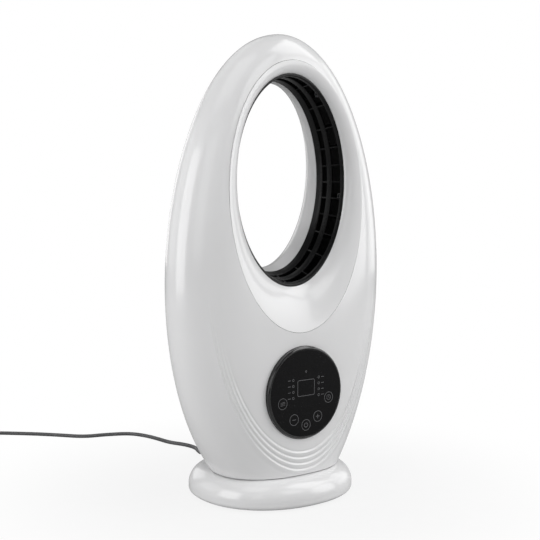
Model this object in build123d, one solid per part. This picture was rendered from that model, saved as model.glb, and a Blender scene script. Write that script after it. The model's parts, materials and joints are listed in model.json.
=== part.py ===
"""Bladeless tower fan on a swinging base.

Millimetres, +Z up, front faces -Y.  The origin is the centre of the base on the floor, which is also the
swing axis of the tower.
"""
import math
import os

from build123d import *

# ---------------------------------------------------------------- driving dimensions: base
BASE_HALF_X, BASE_HALF_Y = 111.7, 103.5
BASE_BULGE = 0.60            # handle length of the quarter curves of the base outline, 0.552 is an ellipse
DECK_Z = 36.0                # top of the base
BASE_TOP_ROUND = 24.0
BASE_FOOT_ROUND = 5.0
BASE_WALL = 2.8
FOOT_HEIGHT = 2.5
BOTTOM_PLATE = 3.0
FOOT_RADIUS = 9.0

# ---------------------------------------------------------------- driving dimensions: tower
HEIGHT = 610.0
TOWER_Z = 37.0               # underside of the tower, a seam above the deck
WALL = 2.6
TOWER_HALF_X, WIDEST_Z, NECK_HALF_X, SIDE_POWER = 166.6, 289.0, 92.0, 1.97
TOWER_HALF_Y, SLIM_FROM_Z, DEPTH_POWER = 67.7, 190.0, 2.655
MID_Y, MID_LEAN = -9.55, -0.017      # middle of the tower's depth: at the floor, and per mm of height
TOWER_BULGE = 0.613                  # handle length of a quarter of the tower's cross-section
FACE_Y, FACE_LEAN = -79.55, 0.0426   # flat front face: at the floor, and per mm of height
PARTING_Y, PARTING_LEAN = 15.8, -0.036   # plane between the front and the rear shell
SECTIONS = 16
CROWN_Z = 609.6              # last cross-section of the outer skin, under the very top
FIT_GAP = 0.3                # gap between curved faces of neighbouring pieces
PRESS_GAP = 0.03             # gap between round pieces that are pressed together

# ---------------------------------------------------------------- driving dimensions: air way
SCOOP_HALF_X, SCOOP_HALF_Z, SCOOP_MID_Z = 108.2, 175.6, 397.9
OUTLET_Y, OUTLET_HALF_X, OUTLET_HALF_Z, OUTLET_MID_Z = -48.6, 88.4, 138.4, 419.0
THROAT_Y, THROAT_HALF_X, THROAT_HALF_Z, THROAT_MID_Z, THROAT_TILT = 9.4, 75.2, 123.5, 426.1, -3.9
GRILLE_BACK_Y = -2.0
FLARE_WIDTH, FLARE_DEPTH, FLARE_TILT, FLARE_TURN = 22.0, 23.5, -5.6, 50.0
SCOOP_START, SCOOP_TURN = 10.0, 70.0  # the scoop's surface turns between these angles, from face to opening
SCOOP_RIM = 0.4              # flat land between the hairline and the scoop's curve
WINDOW_ROWS = ((-42.6, -27.7), (-20.0, -12.4))
RIB_COUNT, RIB_WIDTH, RIB_DEPTH = 24, 2.4, 7.0
GRILLE_WALL = 3.0
LIP_X, LIP_Z = 0.4, 3.8

# ---------------------------------------------------------------- driving dimensions: swing drive
HUB_RADIUS, HUB_BORE = 27.95, 19.0
BUSH_BORE, BUSH_RADIUS = 28.0, 31.0
GEAR_MODULE, GEAR_TEETH, PINION_TEETH = 1.0, 80, 16
GEAR_Z, GEAR_THICK = 26.2, 3.5
PRESSURE_ANGLE = math.radians(20)
BACKLASH = 0.16
SECTOR_TEETH = 33            # teeth cut on the toothed sector, for a swing of 40 degrees each way
DRIVE_Y = GEAR_MODULE * (GEAR_TEETH + PINION_TEETH) / 2
MOTOR_SHAFT_RADIUS, MOTOR_SHAFT_LOW = 2.5, 16.0

# ---------------------------------------------------------------- driving dimensions: blower
BLOWER_Y = -4.0
HOUSING_RADIUS, HOUSING_WALL = 51.0, 2.0
HOUSING_FLANGE, DAMPER_RADIUS = 55.5, 50.0
INLET_Z, HOUSING_TOP = 76.0, 186.0
BLADE_COUNT, VANE_COUNT = 9, 11
IMPELLER_LOW, IMPELLER_TOP, IMPELLER_RADIUS = 84.0, 118.0, 47.6
SHAFT_RADIUS, BEARING_RADIUS = 2.5, 6.5
MOTOR_LOW, MOTOR_TOP, MOTOR_RADIUS = 126.0, 160.0, 21.0

# ---------------------------------------------------------------- driving dimensions: control panel
PANEL_Z, PANEL_RADIUS, PANEL_Y = 144.3, 60.5, -78.0
LENS_RADIUS = 57.0
BEZEL_DEPTH = 13.0
KEY_PLACES = ((-38.0, -10.0), (-19.6, -33.0), (0.0, -42.0), (19.6, -33.0), (38.0, -10.0))
LIGHT_COLUMN, LIGHT_PITCH, LIGHT_RISE = 21.0, 7.8, 7.0
DISPLAY_WIDTH, DISPLAY_HEIGHT = 27.5, 20.5

# ---------------------------------------------------------------- driving dimensions: shell screws and ridges
BOSS_PLACES = ((88, 76), (-88, 76), (142, 215), (-142, 215), (126, 400), (-126, 400), (80, 540), (-80, 540),
               (0, 589))
BOSS_RADIUS = 4.0
RIDGE_COUNT = 4
RIDGE_INNER = (126.7, 303.8, 237.8)  # half width, middle height and half height of the innermost ridge line
RIDGE_OUTER = (137.6, 316.6, 273.5)
RIDGE_DEPTH, RIDGE_GROOVE = 0.9, 3.4
RIDGE_TOP_Z = 225.0

# ---------------------------------------------------------------- driving dimensions: mains cord
CORD = 6.0
CORD_EXIT_Z = 14.0
RELIEF_BACK_Y = 136.0
COIL_X, COIL_Y, COIL_Z = -257.0, 513.0, 4.2
COIL_START_ANGLE = 50.3
COIL_OUTER, COIL_STEP, COIL_LAYER, COIL_INSET = 41.0, 3.35, 6.6, 0.8
COIL_HALF_TURNS = 5          # half turns in each of the two layers
COIL_TAIL = 16.0             # straight end of the coil in front of the plug
CORD_ROUTE = [
    (0, RELIEF_BACK_Y, CORD_EXIT_Z), (0, 160, CORD_EXIT_Z), (6, 184, 8.6), (17, 210, 3.4), (27, 236, 3.1),
    (23, 262, 3.1), (10, 288, 3.1), (7, 318, 3.1), (2, 348, 3.1), (-12, 380, 3.1), (-50, 397, 3.1),
    (-85, 405, 3.1), (-113, 440, 3.1), (-150, 474, COIL_Z),
]
PLUG_LENGTH, PLUG_HALF_WIDTH, PLUG_HALF_HEIGHT = 40.0, 13.0, 9.0
PIN_RADIUS, PIN_LENGTH, PIN_SPACING = 2.0, 19.0, 18.6

BIG = 700.0                  # size of the boxes that stand for half spaces

os.makedirs("parts", exist_ok=True)


# ================================================================ helpers
def save(name, shape):
    """Write one node."""
    export_step(shape, f"parts/{name}.step")


def slab(low, high):
    """Everything between two heights."""
    return Pos(0, 0, (low + high) / 2) * Box(BIG, BIG, high - low)


def depth_slab(front, back):
    """Everything between two depths."""
    return Pos(0, (front + back) / 2, HEIGHT / 2) * Box(BIG, back - front, 2 * BIG)


def post(x, y, low, high, radius):
    """Upright round bar."""
    return Pos(x, y, low) * Cylinder(radius, high - low, align=(Align.CENTER, Align.CENTER, Align.MIN))


def pipe(x, y, low, high, outer, inner):
    """Upright tube."""
    return post(x, y, low, high, outer) - post(x, y, low - 1, high + 1, inner)


def bar(x, z, front, back, radius):
    """Round bar that runs front to back."""
    across = Plane(origin=(x, front, z), x_dir=(1, 0, 0), z_dir=(0, 1, 0))
    return across * Cylinder(radius, back - front, align=(Align.CENTER, Align.CENTER, Align.MIN))


def block(x, y, z, wide, deep, tall):
    """Box given by its middle in plan and its underside."""
    return Pos(x, y, z) * Box(wide, deep, tall, align=(Align.CENTER, Align.CENTER, Align.MIN))


def joined(solids):
    """One shape from a list of solids."""
    first, *others = solids
    return first.fuse(*others) if others else first


def group(name, solids):
    """Separate solids that share one node."""
    return Compound(label=name, children=[Solid(s.solid().wrapped) for s in solids])


def behind(floor_y, lean):
    """Half space behind the plane that stands at floor_y and leans by lean per mm of height."""
    face = Plane(origin=(0, floor_y, 0), x_dir=(1, 0, 0), z_dir=Vector(0, 1, -lean).normalized())
    return face * Box(2 * BIG, 4 * BIG, BIG, align=(Align.CENTER, Align.CENTER, Align.MIN))


def quarter_loop(middle, half_a, half_b, bulge, upward=(0, 1, 0)):
    """Closed loop of four quarter curves with half sizes along X and along the upward direction."""
    middle, across, upward = Vector(middle), Vector(1, 0, 0), Vector(upward)
    arms = [across * half_a, upward * half_b, across * -half_a, upward * -half_b]
    quarters = []
    for near, far in zip(arms, arms[1:] + arms[:1]):
        quarters.append(Bezier(middle + near, middle + near + far * bulge, middle + far + near * bulge,
                               middle + far))
    return Wire(quarters)


# ================================================================ tower skin
def half_width(z, inset):
    """Half width of the tower: an ellipse below the widest height and a power curve above it."""
    size, top = TOWER_HALF_X - inset, HEIGHT - inset
    if z > WIDEST_Z:
        rise = (z - WIDEST_Z) / (top - WIDEST_Z)
        return size * max(1 - rise ** SIDE_POWER, 0) ** (1 / SIDE_POWER)
    neck = NECK_HALF_X - inset
    reach = (WIDEST_Z - TOWER_Z) / math.sqrt(1 - (neck / size) ** 2)
    return size * math.sqrt(1 - ((WIDEST_Z - z) / reach) ** 2)


def half_depth(z, inset):
    """Half depth of the tower before the front face is cut: constant, then a power curve to the top."""
    size, top = TOWER_HALF_Y - inset, HEIGHT - inset
    rise = max(z - SLIM_FROM_Z, 0) / (top - SLIM_FROM_Z)
    return size * max(1 - rise ** DEPTH_POWER, 0) ** (1 / DEPTH_POWER)


def tower_solid(inset):
    """Whole tower as one solid, made smaller all round by inset and cut by its flat front face."""
    low, high = TOWER_Z, CROWN_Z - inset
    loops = []
    for i in range(SECTIONS + 1):
        z = low + (high - low) * (1 - math.cos(math.pi * i / SECTIONS)) / 2
        middle = (0, MID_Y + MID_LEAN * z, z)
        loops.append(quarter_loop(middle, half_width(z, inset), half_depth(z, inset), TOWER_BULGE))
    return Solid.make_loft(loops) & behind(FACE_Y + inset, FACE_LEAN)


# ================================================================ air way
def tilted_loop(y, mid_z, half_x, half_z, tilt):
    """Ellipse across the air way; tilt in degrees leans its top backwards."""
    lean = math.radians(tilt)
    return quarter_loop((0, y, mid_z), half_x, half_z, 0.5523, (0, math.sin(lean), math.cos(lean)))


def air_way_loop(y, grow_x, grow_z):
    """Ellipse of the black outlet at depth y, made larger across by grow_x and upwards by grow_z."""
    t = (y - OUTLET_Y) / (THROAT_Y - OUTLET_Y)
    half_x = OUTLET_HALF_X + t * (THROAT_HALF_X - OUTLET_HALF_X) + grow_x
    half_z = OUTLET_HALF_Z + t * (THROAT_HALF_Z - OUTLET_HALF_Z) + grow_z
    return tilted_loop(y, OUTLET_MID_Z + t * (THROAT_MID_Z - OUTLET_MID_Z), half_x, half_z, 0)


def outlet_core(grow):
    """Filled shape of the black outlet."""
    return Solid.make_loft([air_way_loop(OUTLET_Y, grow, grow), air_way_loop(GRILLE_BACK_Y, grow, grow)], True)


def flare_core(grow):
    """Filled shape of the white wall behind the outlet: a quarter curve up to its last turn, then straight on."""
    loops = [air_way_loop(GRILLE_BACK_Y, grow, grow),
             tilted_loop(THROAT_Y, THROAT_MID_Z, THROAT_HALF_X + grow, THROAT_HALF_Z + grow, THROAT_TILT)]
    last = math.radians(FLARE_TURN)
    slope = math.atan2(FLARE_WIDTH * math.sin(last), FLARE_DEPTH * math.cos(last))
    for share, beyond in ((0.5, 0), (1, 0), (1, 12), (1, 30)):
        turn = last * share
        lean = slope * share
        radial = FLARE_WIDTH * (1 - math.cos(turn)) + beyond * math.sin(slope) + grow * math.cos(lean)
        y = THROAT_Y + FLARE_DEPTH * math.sin(turn) + beyond * math.cos(slope) - grow * math.sin(lean)
        tilt = THROAT_TILT + (FLARE_TILT - THROAT_TILT) * math.sin(turn)
        loops.append(tilted_loop(y, THROAT_MID_Z, THROAT_HALF_X + radial, THROAT_HALF_Z + radial, tilt))
    return Solid.make_loft(loops)


def scoop_loop(turn, grow, rim):
    """Ellipse of the scoop where its surface has turned by an angle, made larger by grow."""
    first, last = math.radians(SCOOP_START), math.radians(SCOOP_TURN)
    front_y = FACE_Y + FACE_LEAN * SCOOP_MID_Z
    inward = (math.sin(turn) - math.sin(first)) / (math.sin(last) - math.sin(first))
    deeper = (math.cos(first) - math.cos(turn)) / (math.cos(first) - math.cos(last))
    return tilted_loop(
        front_y + deeper * (OUTLET_Y - front_y) + grow * math.cos(turn) - rim / 2,
        SCOOP_MID_Z + inward * (OUTLET_MID_Z - SCOOP_MID_Z),
        SCOOP_HALF_X + inward * (OUTLET_HALF_X - SCOOP_HALF_X) + grow * math.sin(turn) - rim,
        SCOOP_HALF_Z + inward * (OUTLET_HALF_Z - SCOOP_HALF_Z) + grow * math.sin(turn) - rim,
        math.degrees(math.atan(FACE_LEAN)) * (1 - deeper))


def scoop_air():
    """Space inside the scoop, from a narrow rim at the hairline to past the black outlet's edge."""
    loops = [scoop_loop(math.radians(SCOOP_START), 0, SCOOP_RIM)]
    loops += [scoop_loop(math.radians(turn), 0, 0) for turn in (30, 50, 70, 90)]
    return Solid.make_loft(loops)


def scoop_back():
    """Filled shape up to the back of the scoop's wall, wider than the hairline where it starts."""
    curved = Solid.make_loft([scoop_loop(math.radians(turn), WALL, 0) for turn in (SCOOP_START, 30, 50, 70, 90)])
    return curved + scoop_prism(6, -5, WALL + 0.3)


def scoop_prism(grow, front, back):
    """Straight plug of the hairline's outline, square to the front face, between two depths behind it."""
    square = Vector(0, 1, -FACE_LEAN).normalized()
    middle = Vector(0, FACE_Y + FACE_LEAN * SCOOP_MID_Z, SCOOP_MID_Z)
    face_tilt = math.degrees(math.atan(FACE_LEAN))
    loops = []
    for depth in (front, back):
        at = middle + square * depth
        loops.append(tilted_loop(at.Y, at.Z, SCOOP_HALF_X + grow, SCOOP_HALF_Z + grow, face_tilt))
    return Solid.make_loft(loops, True)


def make_scoop_ring(skin):
    """White ring between the hairline and the black outlet."""
    plug = scoop_back() & scoop_prism(0, -6, 60) & depth_slab(-BIG / 4, OUTLET_Y) & skin
    return plug - scoop_air()


def outlet_lip():
    """Front edge of the black outlet, which stands in at its top and bottom and hardly at its sides."""
    front, back = OUTLET_Y, WINDOW_ROWS[0][0]
    outer = [air_way_loop(y, 0, 0) for y in (front, back)]
    inner = [air_way_loop(y, -LIP_X, -LIP_Z) for y in (front, back)]
    return Solid.make_loft(outer, True) - Solid.make_loft(inner, True)


def make_outlet_grille():
    """Black ring with two rows of windows between ribs that reach back into the duct."""
    wall = outlet_core(GRILLE_WALL) - outlet_core(0)
    deep = outlet_core(RIB_DEPTH) - outlet_core(0.4)
    rows = joined([depth_slab(front, back) for front, back in WINDOW_ROWS])
    spokes = []
    for i in range(RIB_COUNT // 2):
        spokes.append(Pos(0, 0, OUTLET_MID_Z) * Rot(0, 360 * i / RIB_COUNT, 0) * Box(BIG, BIG, RIB_WIDTH))
    reach = depth_slab(WINDOW_ROWS[0][0] - 1, WINDOW_ROWS[1][1] + 1)
    ribs = (deep & reach) & joined(spokes)
    return (wall - rows) + outlet_lip() + ribs


def make_rear_duct(skin):
    """White wall behind the black outlet, flaring to the back of the tower."""
    reach = depth_slab(GRILLE_BACK_Y, BIG / 4)
    return (flare_core(WALL) - flare_core(0)) & reach & skin


# ================================================================ tower shells
def ridge_prism(order, shift):
    """Upright elliptic plug whose outline lies at a place between the innermost and outermost ridge."""
    t = order / (RIDGE_COUNT - 1)
    half_x, mid_z, half_z = [a + (b - a) * t for a, b in zip(RIDGE_INNER, RIDGE_OUTER)]
    loops = [tilted_loop(y, mid_z, half_x + shift, half_z + shift, 0) for y in (-BIG / 4, -10)]
    return Solid.make_loft(loops, True)


def ridge_cutter(skin):
    """Shallow grooves that leave the ridges standing between them."""
    grooves = []
    for order in range(RIDGE_COUNT):
        groove = ridge_prism(order, -1.0) - ridge_prism(order, -1.0 - RIDGE_GROOVE)
        grooves.append(groove & slab(TOWER_Z + 2, RIDGE_TOP_Z - 12 * order))
    surface = (skin - tower_solid(RIDGE_DEPTH)) & slab(TOWER_Z + 2, RIDGE_TOP_Z)
    return joined(grooves) & surface & depth_slab(-BIG / 4, -30)


def parting_y(z):
    """Depth of the parting plane at a height."""
    return PARTING_Y + PARTING_LEAN * z


def shell_bosses(skin, front):
    """Screw bosses inside one of the shells, up to the parting plane."""
    bosses = []
    for x, z in BOSS_PLACES:
        edge = parting_y(z)
        bosses.append(bar(x, z, -BIG / 4, edge, BOSS_RADIUS) if front else bar(x, z, edge, BIG / 4, BOSS_RADIUS))
    half = behind(PARTING_Y, PARTING_LEAN)
    kept = [(boss & skin) - half if front else (boss & skin) & half for boss in bosses]
    return kept


def make_front_shell(skin, hollow):
    """Front half of the tower with the flat face, the scoop's hole, the panel's hole and the ridges."""
    shell = (skin - hollow) - behind(PARTING_Y, PARTING_LEAN)
    shell = joined([shell] + shell_bosses(skin, True))
    shell -= scoop_prism(FIT_GAP, -20, WALL + 6)
    shell -= bar(0, PANEL_Z, -BIG / 4, -50, PANEL_RADIUS + FIT_GAP)
    shell -= joined([bar(x, z, parting_y(z) - 12, parting_y(z) + 5, 1.35) for x, z in BOSS_PLACES])
    return shell - ridge_cutter(skin)


def intake_plug(shrink):
    """Rounded window of the rear intake, as a plug that runs front to back."""
    outline = RectangleRounded(124 - 2 * shrink, 84 - 2 * shrink, 20 - shrink)
    return Plane(origin=(0, 10, 106), x_dir=(1, 0, 0), z_dir=(0, -1, 0)) * extrude(outline, -BIG / 4)


def make_rear_shell(skin, hollow):
    """Rear half of the tower with the flare's hole and the intake window."""
    shell = (skin - hollow) & behind(PARTING_Y, PARTING_LEAN)
    shell = joined([shell] + shell_bosses(skin, False))
    shell -= flare_core(WALL + FIT_GAP)
    shell -= intake_plug(0)
    for x, z in BOSS_PLACES:
        shell -= bar(x, z, parting_y(z) - 2, BIG / 4, 1.7)
        shell -= bar(x, z, parting_y(z) + 7, BIG / 4, 3.1)
    return shell


def make_intake_grille(skin, hollow):
    """Slotted grille in the rear window; it follows the tower's curve."""
    panel = (skin - hollow) & intake_plug(FIT_GAP)
    slots = []
    for row in range(12):
        for column in (-1, 0, 1):
            reach = 34 if column == 0 or 1 < row < 10 else 27
            x = column * (37.5 if reach == 34 else 34)
            slots.append(block(x, 40, 106 - 35.5 + 6 * row, reach, 80, 3.2))
    return panel - joined(slots)


def make_shell_screws():
    """Screws that pull the rear shell to the front shell."""
    screws = []
    for x, z in BOSS_PLACES:
        seat = parting_y(z) + 7
        screws.append(bar(x, z, seat - 16, seat, 1.25) + bar(x, z, seat, seat + 1.9, 2.8))
    return group("shell_screws", screws)


# ================================================================ base
def base_solid(inset, low, high):
    """Base as one solid between two heights, rounded over the top and tucked in at the foot."""
    loop = quarter_loop((0, 0, low), BASE_HALF_X - inset, BASE_HALF_Y - inset, BASE_BULGE)
    solid = extrude(Face(loop), high - low, dir=(0, 0, 1))
    solid = fillet(solid.edges().group_by(Axis.Z)[-1], BASE_TOP_ROUND - inset)
    return solid


def make_base_shell():
    """White base cover with the swivel's hole in its deck."""
    outer = base_solid(0, FOOT_HEIGHT, DECK_Z)
    outer = fillet(outer.edges().group_by(Axis.Z)[0], BASE_FOOT_ROUND)
    cover = outer - base_solid(BASE_WALL, FOOT_HEIGHT - 1, DECK_Z - BASE_WALL)
    cover -= post(0, 0, 0, 60, BUSH_RADIUS)
    posts = [pipe(x, y, FOOT_HEIGHT + BOTTOM_PLATE, DECK_Z - 1, 4, 1.35) for x, y in base_screw_places()]
    cover = joined([cover] + posts)
    return cover - bar(0, CORD_EXIT_Z, 90, 110, 6.6)


def base_screw_places():
    """Plan places of the screws under the base."""
    return [(76 * math.cos(a), 72 * math.sin(a)) for a in [math.radians(60 * i) for i in range(6)]]


def foot_places():
    """Plan places of the rubber feet."""
    return [(84 * math.cos(a), 77 * math.sin(a)) for a in [math.radians(30 + 60 * i) for i in range(6)]]


def make_bottom_plate():
    """Plate that closes the base, with holes for the screws."""
    inset = BASE_WALL + FIT_GAP + 1.5
    loop = quarter_loop((0, 0, FOOT_HEIGHT), BASE_HALF_X - inset, BASE_HALF_Y - inset, BASE_BULGE)
    plate = extrude(Face(loop), BOTTOM_PLATE, dir=(0, 0, 1))
    return plate - joined([post(x, y, 0, 9, 1.7) for x, y in base_screw_places()])


def make_rubber_feet():
    """Six soft pads."""
    feet = []
    for x, y in foot_places():
        pad = post(x, y, 0, FOOT_HEIGHT, FOOT_RADIUS)
        feet.append(chamfer(pad.edges().group_by(Axis.Z)[0], 0.6))
    return group("rubber_feet", feet)


def make_base_screws():
    """Screws from below into the posts of the cover."""
    plate_top = FOOT_HEIGHT + BOTTOM_PLATE
    screws = []
    for x, y in base_screw_places():
        screws.append(post(x, y, FOOT_HEIGHT - 1.6, FOOT_HEIGHT, 3) + post(x, y, FOOT_HEIGHT, plate_top + 9, 1.25))
    return group("base_screws", screws)


def make_ballast_plate():
    """Steel weight on the bottom plate, open in the middle for the drive and the board."""
    low = FOOT_HEIGHT + BOTTOM_PLATE
    ring = post(0, 0, low, low + 6, 68) - post(0, 0, low - 1, low + 7, 46)
    ring -= block(0, 72, low - 1, 50, 60, 8)
    ring -= block(0, -72, low - 1, 74, 60, 8)
    left, right = ring.solids().sort_by(Axis.X)
    return group("ballast_plates", [left, right])


def make_swivel_bush():
    """Flanged plain bearing in the deck."""
    collar = pipe(0, 0, GEAR_Z + GEAR_THICK + 0.5, DECK_Z, BUSH_RADIUS, BUSH_BORE)
    flange = pipe(0, 0, GEAR_Z + GEAR_THICK + 0.5, DECK_Z - BASE_WALL, 36, BUSH_BORE)
    return collar + flange


def make_slide_ring():
    """Flat ring on the deck that carries the tower's weight."""
    return pipe(0, 0, DECK_Z, TOWER_Z - 0.05, 56, 44)


def make_swing_motor():
    """Small geared motor beside the sector gear, its shaft off centre."""
    low = FOOT_HEIGHT + BOTTOM_PLATE
    can_y = DRIVE_Y + 8
    can = fillet(post(0, can_y, low, low + 17, 14).edges(), 0.8)
    ears = post(17.5, can_y, low + 15, low + 16, 3.5) + post(-17.5, can_y, low + 15, low + 16, 3.5)
    ears += block(0, can_y, low + 15, 35, 7, 1)
    ears -= post(17.5, can_y, low, low + 20, 2) + post(-17.5, can_y, low, low + 20, 2)
    nose = post(0, DRIVE_Y, low + 17, low + 18.4, 4.5)
    return (can + ears + nose) - post(0, DRIVE_Y, MOTOR_SHAFT_LOW - 0.2, low + 20, MOTOR_SHAFT_RADIUS + 0.05)


def make_swing_motor_screws():
    """Two posts and screws that hold the swing motor's ears."""
    low = FOOT_HEIGHT + BOTTOM_PLATE
    fasteners = []
    for x in (-17.5, 17.5):
        pillar = post(x, DRIVE_Y + 8, low, low + 15, 3.2)
        fasteners.append(pillar + post(x, DRIVE_Y + 8, low + 15, low + 16, 1.6)
                         + post(x, DRIVE_Y + 8, low + 16, low + 17.6, 3))
    return group("swing_motor_screws", fasteners)


def make_power_board():
    """Power board on four stand-offs at the front of the base."""
    low = FOOT_HEIGHT + BOTTOM_PLATE
    board = block(0, -70, low + 6, 66, 34, 1.6)
    for x in (-29, 29):
        for y in (-83, -57):
            board += post(x, y, low, low + 6, 2.6)
    return board


def make_power_parts():
    """Transformer, capacitor, choke and terminal block on the power board."""
    top = FOOT_HEIGHT + BOTTOM_PLATE + 7.6
    transformer = fillet(block(-17, -70, top, 20, 18, 15).edges().filter_by(Axis.Z), 1.5)
    capacitor = fillet(post(4, -74, top, top + 16, 6).edges().group_by(Axis.Z)[-1], 1)
    choke = pipe(6, -60, top, top + 7, 5, 2.2)
    terminal = block(24, -70, top, 9, 22, 10) - joined(
        [post(24, -70 + 6 * i, top + 6, top + 12, 1.8) for i in (-1, 0, 1)])
    return group("power_parts", [transformer, capacitor, choke, terminal])


# ================================================================ swivel and swing gear
def involute(radius, base_radius):
    """Involute angle at a radius."""
    if radius <= base_radius:
        return 0.0
    pressure = math.acos(base_radius / radius)
    return math.tan(pressure) - pressure


def tooth_face(teeth, angle):
    """Outline of one involute tooth, thinned for backlash, pointing at an angle in degrees."""
    pitch = GEAR_MODULE * teeth / 2
    base_radius = pitch * math.cos(PRESSURE_ANGLE)
    root, tip = pitch - 1.15 * GEAR_MODULE, pitch + 0.9 * GEAR_MODULE
    half = math.pi / (2 * teeth) - BACKLASH / (2 * pitch) + involute(pitch, base_radius)
    radii = [root - 0.3, max(root, base_radius), (base_radius + pitch) / 2 + 0.1, pitch, (pitch + tip) / 2, tip]
    flank = [(r, half - involute(r, base_radius)) for r in radii]
    outline = flank + [(r, -a) for r, a in reversed(flank)]
    turn = math.radians(angle)
    points = [(r * math.cos(turn + a), r * math.sin(turn + a)) for r, a in outline]
    return make_face(Polyline(*points, close=True))


def gear_solid(teeth, angles, low, thick):
    """Disc at root radius with teeth at the given angles."""
    root = GEAR_MODULE * teeth / 2 - 1.15 * GEAR_MODULE
    pieces = [Pos(0, 0, low) * extrude(tooth_face(teeth, angle), thick) for angle in angles]
    return joined([post(0, 0, low, low + thick, root)] + pieces)


def hub_screw_places():
    """Plan places of the screws that hold the sector gear under the hub."""
    return [(23.5 * math.cos(a), 23.5 * math.sin(a)) for a in [math.radians(45 + 90 * i) for i in range(4)]]


def make_swivel_plate():
    """Floor of the tower, with the hub that turns in the base and posts that carry the blower."""
    plate = tower_solid(WALL + FIT_GAP) & slab(TOWER_Z, TOWER_Z + 4)
    hub = post(0, 0, GEAR_Z + GEAR_THICK, TOWER_Z + 2, HUB_RADIUS)
    posts = [post(x, y, TOWER_Z + 4, INLET_Z - 9, 4) for x, y in damper_places()]
    plate = joined([plate, hub] + posts)
    plate -= post(0, 0, 0, 60, HUB_BORE)
    return plate - joined([post(x, y, GEAR_Z, TOWER_Z, 1.3) for x, y in hub_screw_places()])


def make_swing_gear():
    """Toothed sector under the hub; its rim keeps the tower on the base."""
    step = 360 / GEAR_TEETH
    angles = [90 + step * (i - SECTOR_TEETH // 2) for i in range(SECTOR_TEETH)]
    gear = gear_solid(GEAR_TEETH, angles, GEAR_Z, GEAR_THICK)
    gear -= post(0, 0, 0, 60, HUB_BORE)
    return gear - joined([post(x, y, 0, 60, 1.7) for x, y in hub_screw_places()])


def make_hub_screws():
    """Screws from below through the sector gear into the hub."""
    screws = []
    for x, y in hub_screw_places():
        screws.append(post(x, y, GEAR_Z - 2, GEAR_Z, 2.8) + post(x, y, GEAR_Z, TOWER_Z - 1, 1.25))
    return group("hub_screws", screws)


def make_swing_pinion():
    """Pinion on the swing motor's shaft, in mesh with the sector at rest."""
    step = 360 / PINION_TEETH
    angles = [-90 + step * (i + 0.5) for i in range(PINION_TEETH)]
    pinion = gear_solid(PINION_TEETH, angles, GEAR_Z - 1, GEAR_THICK + 2)
    return Pos(0, DRIVE_Y, 0) * (pinion - post(0, 0, 0, 60, MOTOR_SHAFT_RADIUS + PRESS_GAP))


def make_swing_motor_shaft():
    """Output shaft of the swing motor, flush with the pinion's top."""
    return post(0, DRIVE_Y, MOTOR_SHAFT_LOW, GEAR_Z + GEAR_THICK + 1, MOTOR_SHAFT_RADIUS)


# ================================================================ blower
def turned(points):
    """Solid of revolution about the blower's axis, from radius and height pairs."""
    profile = make_face(Polyline(*[(r, 0, z) for r, z in points], close=True))
    return Pos(0, BLOWER_Y, 0) * revolve(profile, Axis.Z)


def damper_places():
    """Plan places of the rubber dampers under the blower."""
    angles = [math.radians(45 + 90 * i) for i in range(4)]
    return [(DAMPER_RADIUS * math.cos(a), BLOWER_Y + DAMPER_RADIUS * math.sin(a)) for a in angles]


def make_rubber_dampers():
    """Four soft bushes between the posts and the blower housing."""
    dampers = []
    for x, y in damper_places():
        waist = post(x, y, INLET_Z - 9, INLET_Z, 3.6)
        dampers.append(waist + post(x, y, INLET_Z - 9, INLET_Z - 6.5, 5.5) + post(x, y, INLET_Z - 2.5, INLET_Z, 5.5))
    return group("rubber_dampers", dampers)


def make_fan_housing():
    """Round duct of the blower with a flared inlet at its foot."""
    outer, wall = HOUSING_RADIUS, HOUSING_WALL
    return turned([
        (HOUSING_FLANGE, INLET_Z), (HOUSING_FLANGE, INLET_Z + 2.5), (outer, INLET_Z + 2.5), (outer, HOUSING_TOP),
        (outer - wall, HOUSING_TOP), (outer - wall, INLET_Z + 9),
        (outer - 9, INLET_Z + 6), (outer - 9, INLET_Z + 4), (outer - 6, INLET_Z + 1.5), (outer - 3, INLET_Z)])


def sweep_plate(angle, low, high, inner, outer, bow, thick):
    """Upright curved blade from an inner to an outer radius, bowed sideways."""
    start, end = Vector(inner, 0), Vector(outer * math.cos(bow), outer * math.sin(bow))
    side = Vector(-(end - start).Y, (end - start).X).normalized()
    middle = (start + end) / 2 - side * (outer - inner) * 0.16
    near = ThreePointArc(start - side * thick / 2, middle - side * thick / 2, end - side * thick / 2)
    far = ThreePointArc(start + side * thick / 2, middle + side * thick / 2, end + side * thick / 2)
    outline = make_face([near, Line(near @ 1, far @ 1), far, Line(far @ 0, near @ 0)])
    return Pos(0, BLOWER_Y, low) * Rot(0, 0, angle) * extrude(outline, high - low)


def make_impeller():
    """Mixed-flow wheel: a cone-shaped hub with curved blades."""
    low, top = IMPELLER_LOW, IMPELLER_TOP
    hub = turned([(SHAFT_RADIUS, low + 4), (9, low + 4), (14, low + 9), (24, top - 8), (33, top - 2), (33, top),
                  (SHAFT_RADIUS, top)])
    envelope = turned([(5, low + 5), (38, low + 4), (IMPELLER_RADIUS, low + 10), (IMPELLER_RADIUS, top - 3),
                       (31, top - 0.5), (5, top - 0.5)])
    blades = [sweep_plate(360 * i / BLADE_COUNT, low, top, 6, 52, 0.75, 1.6) for i in range(BLADE_COUNT)]
    bore = post(0, BLOWER_Y, 0, 300, SHAFT_RADIUS + PRESS_GAP)
    return (hub + (joined(blades) & envelope)) - bore


def make_impeller_nut():
    """Hexagon nut under the impeller."""
    low = IMPELLER_LOW
    nut = Pos(0, BLOWER_Y, low) * extrude(RegularPolygon(4.6, 6), 4)
    return nut - post(0, BLOWER_Y, 0, 300, SHAFT_RADIUS + PRESS_GAP)


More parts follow.
